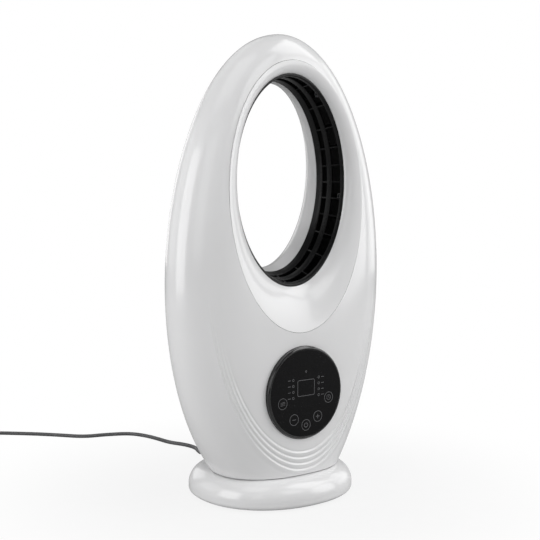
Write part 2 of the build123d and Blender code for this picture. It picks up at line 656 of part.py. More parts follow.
def make_motor_rotor():
    """Shaft with the magnet that turns inside the stator."""
    shaft = post(0, BLOWER_Y, IMPELLER_LOW - 2, MOTOR_TOP - 1, SHAFT_RADIUS)
    return shaft + post(0, BLOWER_Y, MOTOR_LOW + 7, MOTOR_TOP - 8, 11)


def make_motor_can():
    """Closed can of the motor, with seats for its two bearings."""
    can = post(0, BLOWER_Y, MOTOR_LOW, MOTOR_TOP, MOTOR_RADIUS)
    can = fillet(can.edges(), 1.5)
    can -= post(0, BLOWER_Y, MOTOR_LOW + 5, MOTOR_TOP - 5, MOTOR_RADIUS - 1.5)
    return can - post(0, BLOWER_Y, MOTOR_LOW - 1, MOTOR_TOP + 1, BEARING_RADIUS)


def make_motor_stator():
    """Ring of wound poles round the rotor."""
    ring = pipe(0, BLOWER_Y, MOTOR_LOW + 8, MOTOR_TOP - 9, MOTOR_RADIUS - 1.5 - PRESS_GAP, 16.5)
    poles = [Pos(0, BLOWER_Y, MOTOR_LOW + 8) * Rot(0, 0, 60 * i) * Pos(14.5, 0, 0)
             * Box(5, 5.5, 17, align=(Align.CENTER, Align.CENTER, Align.MIN)) for i in range(6)]
    return joined([ring] + poles)


def make_motor_bearings():
    """Two bearings of the motor's shaft."""
    return group("motor_bearings", [
        pipe(0, BLOWER_Y, low, low + 5, BEARING_RADIUS - PRESS_GAP, SHAFT_RADIUS + 0.05)
        for low in (MOTOR_LOW, MOTOR_TOP - 5)])


def make_diffuser():
    """Cup that holds the motor, joined to the housing by guide vanes."""
    cup = turned([(7.5, MOTOR_LOW - 4), (27, MOTOR_LOW - 4), (27, MOTOR_TOP + 2), (24.6, MOTOR_TOP + 2),
                  (24.6, MOTOR_LOW - 1.5), (21.4, MOTOR_LOW - 1.5), (21.4, MOTOR_LOW), (7.5, MOTOR_LOW)])
    inner, outer = 26, HOUSING_RADIUS - HOUSING_WALL - 0.2
    envelope = pipe(0, BLOWER_Y, MOTOR_LOW, MOTOR_TOP - 4, outer, inner)
    vanes = [sweep_plate(360 * i / VANE_COUNT, MOTOR_LOW, MOTOR_TOP - 4, inner - 1, outer + 3, 0.35, 1.8)
             for i in range(VANE_COUNT)]
    return cup + (joined(vanes) & envelope)


def make_tail_cone():
    """Domed cap over the motor."""
    low = MOTOR_TOP + 2
    return turned([(0, low + 18), (9, low + 16.5), (18, low + 11), (24, low + 4), (27, low), (24.6, low),
                   (16.4, low + 9), (8, low + 14), (0, low + 15.6)])


def make_duct_partition():
    """Wall between the lower chamber and the duct, round the blower's outlet."""
    plate = tower_solid(WALL + FIT_GAP) & slab(HOUSING_TOP, HOUSING_TOP + 3)
    plate -= post(0, BLOWER_Y, HOUSING_TOP - 1, HOUSING_TOP + 4, HOUSING_RADIUS - HOUSING_WALL)
    return plate - bar(0, PANEL_Z, -BIG / 4, -60, PANEL_RADIUS + 1)


# ================================================================ control panel
def make_panel_bezel():
    """Black cup set in the round hole, with a bevelled rim round the lens."""
    back = PANEL_Y + BEZEL_DEPTH
    rim = bar(0, PANEL_Z, PANEL_Y, back, PANEL_RADIUS)
    rim = chamfer(rim.edges().group_by(Axis.Y)[0], 1.6)
    rim -= bar(0, PANEL_Z, PANEL_Y - 1, PANEL_Y + 2.2, LENS_RADIUS + 0.2)
    return rim - bar(0, PANEL_Z, PANEL_Y, back - 2, LENS_RADIUS - 1.8)


def make_control_lens():
    """Glossy disc with a softly rounded edge."""
    disc = bar(0, PANEL_Z, PANEL_Y + 0.2, PANEL_Y + 2.2, LENS_RADIUS)
    return fillet(disc.edges().group_by(Axis.Y)[0], 0.6)


def make_control_board():
    """Round board behind the lens."""
    board = bar(0, PANEL_Z, PANEL_Y + 8, PANEL_Y + 9.6, 53)
    return board - joined([bar(x, PANEL_Z + z, PANEL_Y, PANEL_Y + 20, 1.7) for x, z in board_screw_places()])


def board_screw_places():
    """Places of the board's screws, across and up from the panel's middle."""
    return [(46 * math.cos(a), 46 * math.sin(a)) for a in [math.radians(75 + 120 * i) for i in range(3)]]


def make_board_screws():
    """Screws of the board with their stand-offs."""
    screws = []
    for x, z in board_screw_places():
        at = PANEL_Z + z
        screws.append(bar(x, at, PANEL_Y + 6.6, PANEL_Y + 8, 2.6) + bar(x, at, PANEL_Y + 8, PANEL_Y + 9.6, 1.5)
                      + bar(x, at, PANEL_Y + 9.6, PANEL_Y + BEZEL_DEPTH - 2, 2.2))
    return group("board_screws", screws)


def make_display_module():
    """Two-digit display behind the lens."""
    middle = PANEL_Z + LIGHT_RISE
    frame = block(0, PANEL_Y + 5.1, middle - DISPLAY_HEIGHT / 2, DISPLAY_WIDTH, 5.6, DISPLAY_HEIGHT)
    return frame - block(0, PANEL_Y + 2.2, middle - DISPLAY_HEIGHT / 2 + 2, DISPLAY_WIDTH - 4, 0.8,
                         DISPLAY_HEIGHT - 4)


def make_touch_springs():
    """Contact springs between the board and the lens, one behind each key."""
    springs = []
    for x, z in KEY_PLACES:
        spring = bar(x, PANEL_Z + z, PANEL_Y + 2.25, PANEL_Y + 8, 3.4) - bar(x, PANEL_Z + z, PANEL_Y, PANEL_Y + 9, 2.6)
        springs.append(spring)
    return group("touch_springs", springs)


def light_places():
    """Places of the indicator lights, across and up from the panel's middle."""
    return [(side * LIGHT_COLUMN, LIGHT_RISE + LIGHT_PITCH * (i - 1.5)) for side in (-1, 1) for i in range(4)]


def make_light_guides():
    """Clear pegs that carry the indicator lights to the lens."""
    return group("light_guides", [bar(x, PANEL_Z + z, PANEL_Y + 2.25, PANEL_Y + 8, 1.6) for x, z in light_places()])


def make_ir_receiver():
    """Infrared receiver above the display."""
    body = block(0, PANEL_Y + 5.5, PANEL_Z + 27, 6, 5, 7)
    return body + bar(0, PANEL_Z + 30.5, PANEL_Y + 2.4, PANEL_Y + 5, 2.4)


def make_buzzer():
    """Round sounder on the board."""
    return pipe_y(-26, PANEL_Z + 26, PANEL_Y + 3, PANEL_Y + 8, 5, 1)


def pipe_y(x, z, front, back, outer, inner):
    """Tube that runs front to back, closed at its back."""
    return bar(x, z, front, back, outer) - bar(x, z, front - 1, back - 1, inner)


# ================================================================ mains cord
def run_arcs(points):
    """Radii of the arcs at the corners of a route: as large as the two runs at each corner allow."""
    radii = []
    for before, at, after in zip(points, points[1:], points[2:]):
        turn = (at - before).get_angle(after - at)
        shorter = min((at - before).length, (after - at).length)
        radii.append(0.45 * shorter / math.tan(math.radians(turn / 2)))
    return radii


def coil_heading():
    """Direction of the cord where it meets the coil, and the way from the coil's middle to that point."""
    angle = math.radians(COIL_START_ANGLE)
    return Vector(-math.sin(angle), math.cos(angle), 0), Vector(math.cos(angle), math.sin(angle), 0)


def biarc(start, start_way, end, end_way):
    """Two arcs that join two points and keep both directions."""
    gap, ways = end - start, start_way + end_way
    a, b, c = 2 * (start_way.dot(end_way) - 1), -2 * gap.dot(ways), gap.dot(gap)
    reach = (-b - math.sqrt(b * b - 4 * a * c)) / (2 * a)
    joint = (start + start_way * reach + end - end_way * reach) / 2
    first = TangentArc(start, joint, tangent=start_way)
    return [first, TangentArc(joint, end, tangent=first % 1)]


def coil_path():
    """Centre line of the coil: in along the lower layer, up in a half turn, and out along the upper one."""
    middle = Vector(COIL_X, COIL_Y, COIL_Z)
    way, side = coil_heading()
    radii = [COIL_OUTER - COIL_STEP * i for i in range(COIL_HALF_TURNS + 1)]
    radii[-1] -= COIL_INSET
    radii += radii[::-1]
    places = []
    for i, radius in enumerate(radii):
        sign, layer = (-1) ** i, COIL_LAYER * (i > COIL_HALF_TURNS)
        places.append((middle + side * sign * radius + Vector(0, 0, layer), way * sign))
    edges = [Line(places[0][0] - places[0][1] * CORD, places[0][0])]
    for (start, start_way), (end, end_way) in zip(places, places[1:]):
        edges += biarc(start, start_way, end, end_way)
    edges.append(Line(places[-1][0], places[-1][0] + places[-1][1] * COIL_TAIL))
    return edges


def least_gap(edges):
    """Smallest free gap between parts of a wound cord that are more than a quarter turn apart."""
    points, travelled, length = [], [], 0.0
    for edge in edges:
        count = max(2, round(edge.length / 3))
        for i in range(count):
            points.append(edge @ (i / count))
            travelled.append(length + edge.length * i / count)
        length += edge.length
    apart = COIL_OUTER
    return min((p - q).length for i, p in enumerate(points) for j, q in enumerate(points[:i])
               if travelled[i] - travelled[j] > apart) - CORD


def swept(path):
    """Round cord along a path."""
    wire = Wire(path) if isinstance(path, list) else path.wire()
    section = Plane(origin=wire @ 0, z_dir=wire % 0) * Circle(CORD / 2)
    return sweep(section, path=wire)


def make_power_cord():
    """Free stretch of the mains cord along the floor, from the strain relief to the coil."""
    way, side = coil_heading()
    end = Vector(COIL_X, COIL_Y, COIL_Z) + side * COIL_OUTER - way * CORD
    points = [Vector(p) for p in CORD_ROUTE] + [end]
    radii = run_arcs(points)
    path = FilletPolyline(*points, radius=radii)
    tube = swept(path)
    print("cord radii", [round(r) for r in radii], "free length", round(path.length, 1))
    print("cord volume over section times length", round(tube.volume / (math.pi * 9 * path.length), 4))
    return tube


def make_cord_coil():
    """Put-away length of the cord, wound in two layers."""
    edges = coil_path()
    print("coil length", round(sum(e.length for e in edges), 1), "least gap", round(least_gap(edges), 2))
    return swept(edges)


def make_cord_tie():
    """Band round the coil."""
    angle = COIL_START_ANGLE + 90
    inner_radius = COIL_OUTER - COIL_STEP * COIL_HALF_TURNS - COIL_INSET - CORD / 2 - 0.4
    outer_radius = COIL_OUTER + CORD / 2 + 0.4
    low, high = COIL_Z - CORD / 2 - 0.3, COIL_Z + COIL_LAYER + CORD / 2 + 0.4
    wide, tall = outer_radius - inner_radius, high - low
    hole = Pos((inner_radius + outer_radius) / 2, 0, (low + high) / 2) * Box(wide, 20, tall)
    band = Pos((inner_radius + outer_radius) / 2, 0, (low + high) / 2) * Box(wide + 1.6, 9, tall + 1.6)
    band = fillet(band.edges().filter_by(Axis.Y), 0.7)
    return Pos(COIL_X, COIL_Y, 0) * Rot(0, 0, angle) * (band - hole)


def plug_frame():
    """Plane at the cord end of the plug, looking the way the pins point."""
    way, side = coil_heading()
    start = Vector(COIL_X, COIL_Y, COIL_Z + COIL_LAYER) - side * COIL_OUTER - way * COIL_TAIL
    return Plane(origin=start, x_dir=(way.Y, -way.X, 0), z_dir=-way)


def make_plug_body():
    """Moulded two-pin plug."""
    sizes = ((0, 4.5, 4.5), (9, 6.0, 6.0), (18, 10.0, 8.2), (30, PLUG_HALF_WIDTH, PLUG_HALF_HEIGHT),
             (PLUG_LENGTH, PLUG_HALF_WIDTH, PLUG_HALF_HEIGHT))
    loops = [quarter_loop((0, 0, z), half_x, half_y, 0.72) for z, half_x, half_y in sizes]
    return plug_frame() * Solid.make_loft(loops)


def make_plug_pins():
    """Two round pins with rounded tips."""
    pins = []
    for x in (-PIN_SPACING / 2, PIN_SPACING / 2):
        pin = post(x, 0, PLUG_LENGTH, PLUG_LENGTH + PIN_LENGTH, PIN_RADIUS)
        pins.append(plug_frame() * fillet(pin.edges().group_by(Axis.Z)[-1], 1.2))
    return group("plug_pins", pins)


def make_strain_relief():
    """Tapered sleeve where the cord leaves the base, with a flange inside the wall."""
    inside = BASE_HALF_Y - BASE_WALL - 3
    sleeve = Plane(origin=(0, inside, CORD_EXIT_Z), x_dir=(1, 0, 0), z_dir=(0, 1, 0))
    neck = bar(0, CORD_EXIT_Z, inside, BASE_HALF_Y + 4, 6.3) + bar(0, CORD_EXIT_Z, inside - 2, inside, 8)
    length = RELIEF_BACK_Y - inside
    taper = sleeve * Cone(6.2, 4.2, length, align=(Align.CENTER, Align.CENTER, Align.MIN))
    relief = neck + taper
    for i in range(5):
        relief -= (bar(0, CORD_EXIT_Z, 112 + 4.5 * i, 113.6 + 4.5 * i, 9)
                   - bar(0, CORD_EXIT_Z, 111 + 4.5 * i, 115 + 4.5 * i, 3.9))
    return relief


# ================================================================ assembly
def write_base():
    save("base_shell", make_base_shell())
    save("base_bottom_plate", make_bottom_plate())
    save("rubber_feet", make_rubber_feet())
    save("base_screws", make_base_screws())
    save("ballast_plates", make_ballast_plate())
    save("swivel_bush", make_swivel_bush())
    save("slide_ring", make_slide_ring())
    save("swing_motor", make_swing_motor())
    save("swing_motor_screws", make_swing_motor_screws())
    save("power_board", make_power_board())
    save("power_parts", make_power_parts())
    save("swing_pinion", make_swing_pinion())
    save("swing_motor_shaft", make_swing_motor_shaft())


def write_cord():
    save("strain_relief", make_strain_relief())
    save("power_cord", make_power_cord())
    save("cord_coil", make_cord_coil())
    save("cord_tie", make_cord_tie())
    save("plug_body", make_plug_body())
    save("plug_pins", make_plug_pins())


def write_tower():
    skin, hollow = tower_solid(0), tower_solid(WALL)
    save("front_shell", make_front_shell(skin, hollow))
    save("rear_shell", make_rear_shell(skin, hollow))
    save("intake_grille", make_intake_grille(skin, hollow))
    save("scoop_ring", make_scoop_ring(skin))
    save("outlet_grille", make_outlet_grille())
    save("rear_duct", make_rear_duct(skin))
    save("shell_screws", make_shell_screws())
    save("swivel_plate", make_swivel_plate())
    save("swing_gear", make_swing_gear())
    save("hub_screws", make_hub_screws())
    save("duct_partition", make_duct_partition())


def write_blower():
    save("rubber_dampers", make_rubber_dampers())
    save("fan_housing", make_fan_housing())
    save("diffuser", make_diffuser())
    save("tail_cone", make_tail_cone())
    save("motor_can", make_motor_can())
    save("motor_stator", make_motor_stator())
    save("motor_bearings", make_motor_bearings())
    save("motor_rotor", make_motor_rotor())
    save("impeller", make_impeller())
    save("impeller_nut", make_impeller_nut())


def write_panel():
    save("panel_bezel", make_panel_bezel())
    save("control_lens", make_control_lens())
    save("control_board", make_control_board())
    save("board_screws", make_board_screws())
    save("display_module", make_display_module())
    save("touch_springs", make_touch_springs())
    save("light_guides", make_light_guides())
    save("ir_receiver", make_ir_receiver())
    save("buzzer", make_buzzer())


write_base()
write_cord()
write_panel()
write_blower()
write_tower()
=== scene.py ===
"""Looks of a bladeless tower fan: smooth shells, air way, panel, base and cord round the engineered frame.

Everything is in metres, +Z up, the front faces -Y, and the swing axis stands on the origin.
"""
import json
import math

import bmesh
import bpy
import numpy as np
from bpy.props import FloatProperty, FloatVectorProperty, IntProperty, PointerProperty
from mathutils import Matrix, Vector


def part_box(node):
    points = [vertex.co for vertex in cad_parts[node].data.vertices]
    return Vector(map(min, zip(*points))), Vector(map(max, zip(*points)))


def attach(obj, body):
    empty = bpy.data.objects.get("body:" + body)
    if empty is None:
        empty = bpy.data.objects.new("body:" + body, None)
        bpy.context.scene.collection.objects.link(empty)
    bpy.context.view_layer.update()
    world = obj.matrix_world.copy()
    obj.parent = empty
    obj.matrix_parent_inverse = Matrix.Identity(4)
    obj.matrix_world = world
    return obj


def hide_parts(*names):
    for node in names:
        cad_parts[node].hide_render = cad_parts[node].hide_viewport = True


bl_info = {
    "name": "Bladeless Fan",
    "version": (1, 0, 0),
    "blender": (4, 5, 0),
    "location": "3D View > Sidebar > Fan",
    "description": "Builds the shells, air way, control panel, base, cord and finishes of a bladeless fan",
    "category": "Object",
}

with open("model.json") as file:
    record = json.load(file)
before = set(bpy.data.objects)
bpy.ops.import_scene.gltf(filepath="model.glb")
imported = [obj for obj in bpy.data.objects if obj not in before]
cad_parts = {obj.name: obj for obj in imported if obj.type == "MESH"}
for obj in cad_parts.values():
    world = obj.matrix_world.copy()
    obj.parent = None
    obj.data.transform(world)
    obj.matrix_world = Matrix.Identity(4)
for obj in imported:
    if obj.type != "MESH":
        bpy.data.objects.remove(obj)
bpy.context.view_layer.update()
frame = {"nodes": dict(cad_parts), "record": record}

# ---------------------------------------------------------------- tower, sizes in metres
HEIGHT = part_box("front_shell")[1].z + 0.0004
TOWER_FOOT = 0.037
HALF_X, WIDEST_Z, NECK_HALF_X, SIDE_POWER = 0.1666, 0.289, 0.092, 1.97
HALF_Y, SLIM_FROM_Z, DEPTH_POWER = 0.0677, 0.190, 2.655
MID_Y, MID_LEAN = -0.00955, -0.017
FACE_Y, FACE_LEAN = -0.07955, 0.0426
SECTION_POWER = 2.2
PARTING_Y, PARTING_LEAN = 0.0158, -0.036
WALL = 0.0026

# ---------------------------------------------------------------- air way
SCOOP_HALF_X, SCOOP_HALF_Z, SCOOP_MID_Z = 0.1082, 0.1756, 0.3979
CORE = np.array([0, -0.026, SCOOP_MID_Z])    # the tower's surface is worked out as seen from this point
SCOOP_START, SCOOP_TURN = math.radians(10), math.radians(70)
OUTLET_Y, OUTLET_HALF_X, OUTLET_HALF_Z, OUTLET_MID_Z = -0.0486, 0.0884, 0.1384, 0.4190
THROAT_Y, THROAT_HALF_X, THROAT_HALF_Z, THROAT_MID_Z = 0.0094, 0.0752, 0.1235, 0.4261
THROAT_TILT, FLARE_TILT = math.radians(-3.9), math.radians(-5.6)
FLARE_WIDTH, FLARE_DEPTH, FLARE_TURN = 0.0220, 0.0235, math.radians(50)
GRILLE_BACK_Y = -0.002
GRILLE_BANDS = ((-0.0486, -0.0426), (-0.0277, -0.0200), (-0.0124, -0.0020))
GRILLE_WALL, LIP_X, LIP_Z = 0.003, 0.0004, 0.0038
RIB_COUNT, RIB_DEPTH = 24, 0.007

# ---------------------------------------------------------------- ridges pressed into the lower front
RIDGE_INNER = (0.1267, 0.3038, 0.2378)
RIDGE_OUTER = (0.1376, 0.3166, 0.2735)
RIDGE_COUNT = 4
RIDGE_TOPS = (0.235, 0.285)  # heights where the innermost and the outermost ridge have faded out

# ---------------------------------------------------------------- panel, base and cord
PANEL_Z = 0.1443
PANEL_RADIUS, LENS_RADIUS = 0.0605, 0.0570
PANEL_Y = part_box("panel_bezel")[0].y
PANEL_BACK_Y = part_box("panel_bezel")[1].y
LENS_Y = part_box("control_lens")[0].y
KEY_PLACES = ((-0.0380, -0.0100), (-0.0196, -0.0330), (0.0, -0.0420), (0.0196, -0.0330), (0.0380, -0.0100))
BASE_HALF_X, BASE_HALF_Y = 0.1117, 0.1035
BASE_POWER = 2.155
DECK_Z, BASE_ROUND, FOOT_ROUND, BASE_UNDER_Z = 0.036, 0.024, 0.005, 0.0025
CORD = 0.006
CORD_EXIT = (0.0, 0.136, 0.014)
CORD_ROUTE = [
    (0, 0.136, 0.014), (0, 0.160, 0.014), (0.006, 0.184, 0.0086), (0.017, 0.210, 0.0034),
    (0.027, 0.236, 0.0031),
    (0.023, 0.262, 0.0031), (0.010, 0.288, 0.0031), (0.007, 0.318, 0.0031), (0.002, 0.348, 0.0031),
    (-0.012, 0.380, 0.0031), (-0.050, 0.397, 0.0031), (-0.085, 0.405, 0.0031), (-0.113, 0.440, 0.0031),
    (-0.150, 0.474, 0.0042),
]
COIL = (-0.257, 0.513, 0.0042)
COIL_START = math.radians(50.3)
COIL_OUTER, COIL_STEP, COIL_LAYER, COIL_INSET, COIL_HALF_TURNS = 0.041, 0.00335, 0.0066, 0.0008, 5
COIL_TAIL = 0.016
DECK_HOLE = 0.031
BASE_WALL = 0.0028

# ---------------------------------------------------------------- marks on the lens
LIGHT_COLUMN, LIGHT_PITCH, LIGHT_RISE = 0.021, 0.0078, 0.007
LIGHT_ROWS = (-1.5, -0.5, 0.5, 1.5)
DISPLAY_HALF_X, DISPLAY_HALF_Z = 0.01375, 0.01025
KEY_RADIUS, MARK_HEIGHT = 0.007, 0.00008
MARKS_SLOT = "lens_marks"

# ---------------------------------------------------------------- camera
CAMERA_AZIMUTH, CAMERA_ELEVATION, CAMERA_DISTANCE = math.radians(36.52), math.radians(4.09), 1.300
CAMERA_TARGET = (-0.00045, 0.0003, 0.2998)
FOCAL_PIXELS, PICTURE_PIXELS, SENSOR = 962.4, 540, 36.0

# ---------------------------------------------------------------- inner sides, painted dark as shade where a gap shows them
INNER_DEPTH = 0.0007            # an inner side of a shell lies deeper than this below the tower's skin
INNER_FACING = 0.3              # and the share of its normal that points outwards is smaller than this
REAR_FACING = 0.7               # share that points to the rear from which a face is the flare's end face
BACK_FACING = 0.1               # share that points to the rear from which a face is the scoop's back
FLARE_OUTWARD = 0.02            # outward part of the normal times distance, for the flare's outer side
CUP_REACH = 0.0037              # distance from a screw within which a cup stays white

# ---------------------------------------------------------------- small sizes that several pieces share
SCREW_HOLE, CUP_RADIUS, CUP_SEAT = 0.0031, 0.0042, 0.004    # shell screws: hole, cup, depth in the shell
THIN_LINE, BOLD_LINE = 0.0006, 0.0007                       # widths of the printed lines on the panel
RIDGE_STEP, GROOVE_AWAY, GROOVE_WIDTH = 0.0018, 0.0017, 0.0010
RIDGE_CLEAR = 0.004                                         # height above the foot over which ridges set in

# ---------------------------------------------------------------- light
# name, azimuth, elevation, distance, size, power
LIGHTS = (
    ("left", -92, 12, 2.2, (1.4, 1.6), 23),
    ("left strip", -46, 17, 2.0, (0.60, 1.15), 2.4),
    ("left back", -135, 15, 2.3, (1.3, 1.4), 4),
    ("front", 12, 34, 2.6, (1.2, 1.0), 7),
    ("right", 48, 14, 2.4, (1.2, 1.5), 17),
    ("far right", 88, 15, 2.3, (1.4, 1.6), 9),
    ("high left", -60, 62, 2.3, (1.3, 1.3), 6),
    ("high right", 55, 50, 2.4, (1.4, 1.4), 17.5),
    ("high back", 180, 50, 2.3, (1.5, 1.3), 3),
    ("back", 180, 12, 2.4, (1.2, 1.2), 5),
)
FLOOR_GLOW, WORLD_LIGHT = (0.86, 1.0), 0.225


# ================================================================ settings
class FanColours(bpy.types.PropertyGroup):
    """Colours of the fan's finishes."""

    white: FloatVectorProperty(
        name="White shell", description="Base colour of the glossy white mouldings",
        default=(0.800, 0.800, 0.805), subtype="COLOR", min=0, max=1)
    black: FloatVectorProperty(
        name="Black outlet", description="Base colour of the air outlet",
        default=(0.0040, 0.0040, 0.0043), subtype="COLOR", min=0, max=1)
    lens: FloatVectorProperty(
        name="Panel lens", description="Base colour of the smoked lens",
        default=(0.0042, 0.0042, 0.0045), subtype="COLOR", min=0, max=1)
    marks: FloatVectorProperty(
        name="Panel marks", description="Colour of the marks on the lens",
        default=(0.115, 0.115, 0.120), subtype="COLOR", min=0, max=1)
    cord: FloatVectorProperty(
        name="Cord", description="Colour of the cord's sheath",
        default=(0.085, 0.085, 0.088), subtype="COLOR", min=0, max=1)


class FanSizes(bpy.types.PropertyGroup):
    """Sizes that a user may want to change."""

    crease_top: FloatProperty(
        name="Crease at the top", description="Softness of the crease round the front face, at the top",
        default=0.005, unit="LENGTH", min=0.001, max=0.05)
    crease_foot: FloatProperty(
        name="Crease at the foot", description="Softness of the crease where it fades out above the base",
        default=0.0075, unit="LENGTH", min=0.001, max=0.05)
    ridge_height: FloatProperty(
        name="Ridge height", description="How far each ridge stands out at its upper edge",
        default=0.0011, unit="LENGTH", min=0, max=0.003)
    hairline: FloatProperty(
        name="Hairline", description="Gap between the scoop and the front shell",
        default=0.00025, unit="LENGTH", min=0.0001, max=0.002)
    columns: IntProperty(name="Columns", description="Columns of the tower's surface", default=372, min=96,
                         max=400)


# ================================================================ mesh making
def turn_outwards(work):
    """Makes all faces of a closed surface face outwards, so that the volume inside it counts as positive."""
    bmesh.ops.recalc_face_normals(work, faces=work.faces)
    if work.calc_volume(signed=True) < 0:
        bmesh.ops.reverse_faces(work, faces=work.faces)


def place(name, mesh, body, material, replaced=(), sharp=35):
    """Links a finished mesh, merges doubles, turns faces outwards, smooths it, sets its material and body,
    hides what it replaces.
    """
    work = bmesh.new()
    work.from_mesh(mesh)
    bmesh.ops.remove_doubles(work, verts=work.verts, dist=2e-6)
    bmesh.ops.dissolve_degenerate(work, dist=1e-7, edges=work.edges)
    turn_outwards(work)
    work.to_mesh(mesh)
    work.free()
    mesh.polygons.foreach_set("use_smooth", np.ones(len(mesh.polygons), bool))
    mesh.set_sharp_from_angle(angle=math.radians(sharp))
    piece = bpy.data.objects.new(name, mesh)
    bpy.context.scene.collection.objects.link(piece)
    mesh.materials.clear()
    mesh.materials.append(material)
    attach(piece, body)
    if replaced:
        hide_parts(*replaced)
    return piece


def grid_faces(rows, columns, close_rows, close_columns, first=0):
    """Quads of a grid of points; a closed direction joins its last line to its first one."""
    r, c = np.meshgrid(np.arange(rows - (not close_rows)), np.arange(columns - (not close_columns)),
                       indexing="ij")
    r, c = r.ravel(), c.ravel()
    up, across = (r + 1) % rows, (c + 1) % columns
    return first + np.stack([r * columns + c, r * columns + across, up * columns + across, up * columns + c],
                            1)


def thick_sheet(points, normal, wall):
    """Closed wall from a grid whose columns close: the grid, a copy moved in along the normals, two rims."""
    rows, columns = points.shape[:2]
    ring = np.concatenate([points, (points - normal * wall)[::-1]], 0)
    return ring.reshape(-1, 3), grid_faces(2 * rows, columns, True, True)


def ring_of(profile_points):
    """Closed ring from an array (profile, round, 3) whose profile and way round both close."""
    rows, columns = profile_points.shape[:2]
    return profile_points.reshape(-1, 3), grid_faces(rows, columns, True, True)


def face_lists(faces, first=0):
    """Faces as lists of corner numbers, counted from first."""
    if isinstance(faces, np.ndarray):
        return (faces + first).tolist()
    return [[corner + first for corner in face] for face in faces]


def stack(parts):
    """One mesh from several (points, faces) pairs."""
    points, faces, count = [], [], 0
    for p, f in parts:
        points.append(p)
        faces.extend(face_lists(f, count))
        count += len(p)
    return np.concatenate(points), faces


def rounded(corners, radii, steps=5):
    """Closed outline whose corners are arcs: each corner is cut back by its radius and bridged by a
    quadratic curve through steps points."""
    corners, radii = np.asarray(corners, float), np.broadcast_to(radii, len(corners))
    before, after = np.roll(corners, 1, 0) - corners, np.roll(corners, -1, 0) - corners
    t = np.linspace(0, 1, steps)[:, None]
    outline = []
    for corner, back, ahead, radius in zip(corners, before, after, radii):
        reach = min(radius, 0.49 * np.linalg.norm(back), 0.49 * np.linalg.norm(ahead))
        if reach <= 0:
            outline.append(corner[None])
            continue
        start, end = (corner + v / np.linalg.norm(v) * reach for v in (back, ahead))
        outline.append((1 - t) ** 2 * start + 2 * t * (1 - t) * corner + t ** 2 * end)
    return np.concatenate(outline)


def lathe(profile, segments, centre, axis):
    """Solid of revolution: each profile pair (radius, height) is turned round an axis through centre; the
    profile starts and ends on that axis."""
    angle = np.linspace(0, 2 * math.pi, segments, endpoint=False)
    radius, height = profile[:, :1], np.broadcast_to(profile[:, 1:], (len(profile), segments))
    a, b = radius * np.cos(angle), radius * np.sin(angle)
    order = {"Z": (a, b, height), "Y": (a, height, b)}[axis]
    return np.stack(order, -1).reshape(-1, 3) + centre, grid_faces(len(profile), segments, False, True)


def solid_profile(corners, radii, steps=5):
    """Outline of a turned solid that starts and ends on its axis, with rounded corners between."""
    return rounded(corners, [0] + list(radii) + [0], steps)


def cut(piece_mesh, cutters, operation="DIFFERENCE"):
    """Mesh with closed cutter meshes taken from it (or kept in common with it)."""
    work = bpy.data.objects.new("work", piece_mesh)
    bpy.context.scene.collection.objects.link(work)
    for points, faces in cutters:
        mesh = bpy.data.meshes.new("cutter")
        mesh.from_pydata(points, [], face_lists(faces))
        tidy_closed(mesh)
        tool = bpy.data.objects.new("cutter", mesh)
        bpy.context.scene.collection.objects.link(tool)
        modifier = work.modifiers.new("cut", "BOOLEAN")
        modifier.operation, modifier.solver, modifier.object = operation, "MANIFOLD", tool
        bpy.context.view_layer.update()
        result = bpy.data.meshes.new_from_object(work.evaluated_get(bpy.context.evaluated_depsgraph_get()))
        work.modifiers.clear()
        work.data = result
        bpy.data.objects.remove(tool)
    finished = work.data
    bpy.data.objects.remove(work)
    return finished


def tidy_closed(mesh):
    """Merges doubles and turns all faces of a closed mesh outwards."""
    work = bmesh.new()
    work.from_mesh(mesh)
    bmesh.ops.remove_doubles(work, verts=work.verts, dist=1e-6)
    turn_outwards(work)
    work.to_mesh(mesh)
    work.free()


def closed_mesh(name, points, faces):
    """Blender mesh of a closed surface, doubles merged and faces outwards."""
    mesh = bpy.data.meshes.new(name)
    mesh.from_pydata(points, [], face_lists(faces))
    tidy_closed(mesh)
    return mesh


def prism(outline, front, back):
    """Plug with an (x, z) outline between two depths, its ends closed by fans."""
    count = len(outline)
    points = np.concatenate([np.insert(outline, 1, depth, 1) for depth in (front, back)])
    i = np.arange(count)
    j = (i + 1) % count
    sides = np.stack([i, j, j + count, i + count], 1).tolist()
    return points, sides + [list(range(count))[::-1], list(range(count, 2 * count))]


# ================================================================ tower surface
def smoothstep(x):
    """0 below 0, 1 above 1, 3x^2 - 2x^3 between."""
    x = np.clip(x, 0, 1)
    return x * x * (3 - 2 * x)


def half_width(z):
    """Half width at a height: an ellipse below the widest height, a power curve above it."""
    above = np.clip((z - WIDEST_Z) / (HEIGHT - WIDEST_Z), 0, 1)
    upper = np.maximum(1 - above ** SIDE_POWER, 1e-12) ** (1 / SIDE_POWER)
    reach = (WIDEST_Z - TOWER_FOOT) / math.sqrt(1 - (NECK_HALF_X / HALF_X) ** 2)
    below = np.clip((WIDEST_Z - z) / reach, 0, 0.99)
    return HALF_X * np.where(z > WIDEST_Z, upper, np.sqrt(1 - below ** 2))


def half_depth(z):
    """Half depth at a height: constant, then a power curve to the top."""
    rise = np.clip((z - SLIM_FROM_Z) / (HEIGHT - SLIM_FROM_Z), 0, 1)
    return HALF_Y * np.maximum(1 - rise ** DEPTH_POWER, 1e-12) ** (1 / DEPTH_POWER)


def crease_softness(z, sizes):
    """Softness of the crease: small above the middle, growing to the foot."""
    return sizes.crease_foot + (sizes.crease_top - sizes.crease_foot) * smoothstep((z - 0.12) / 0.22)


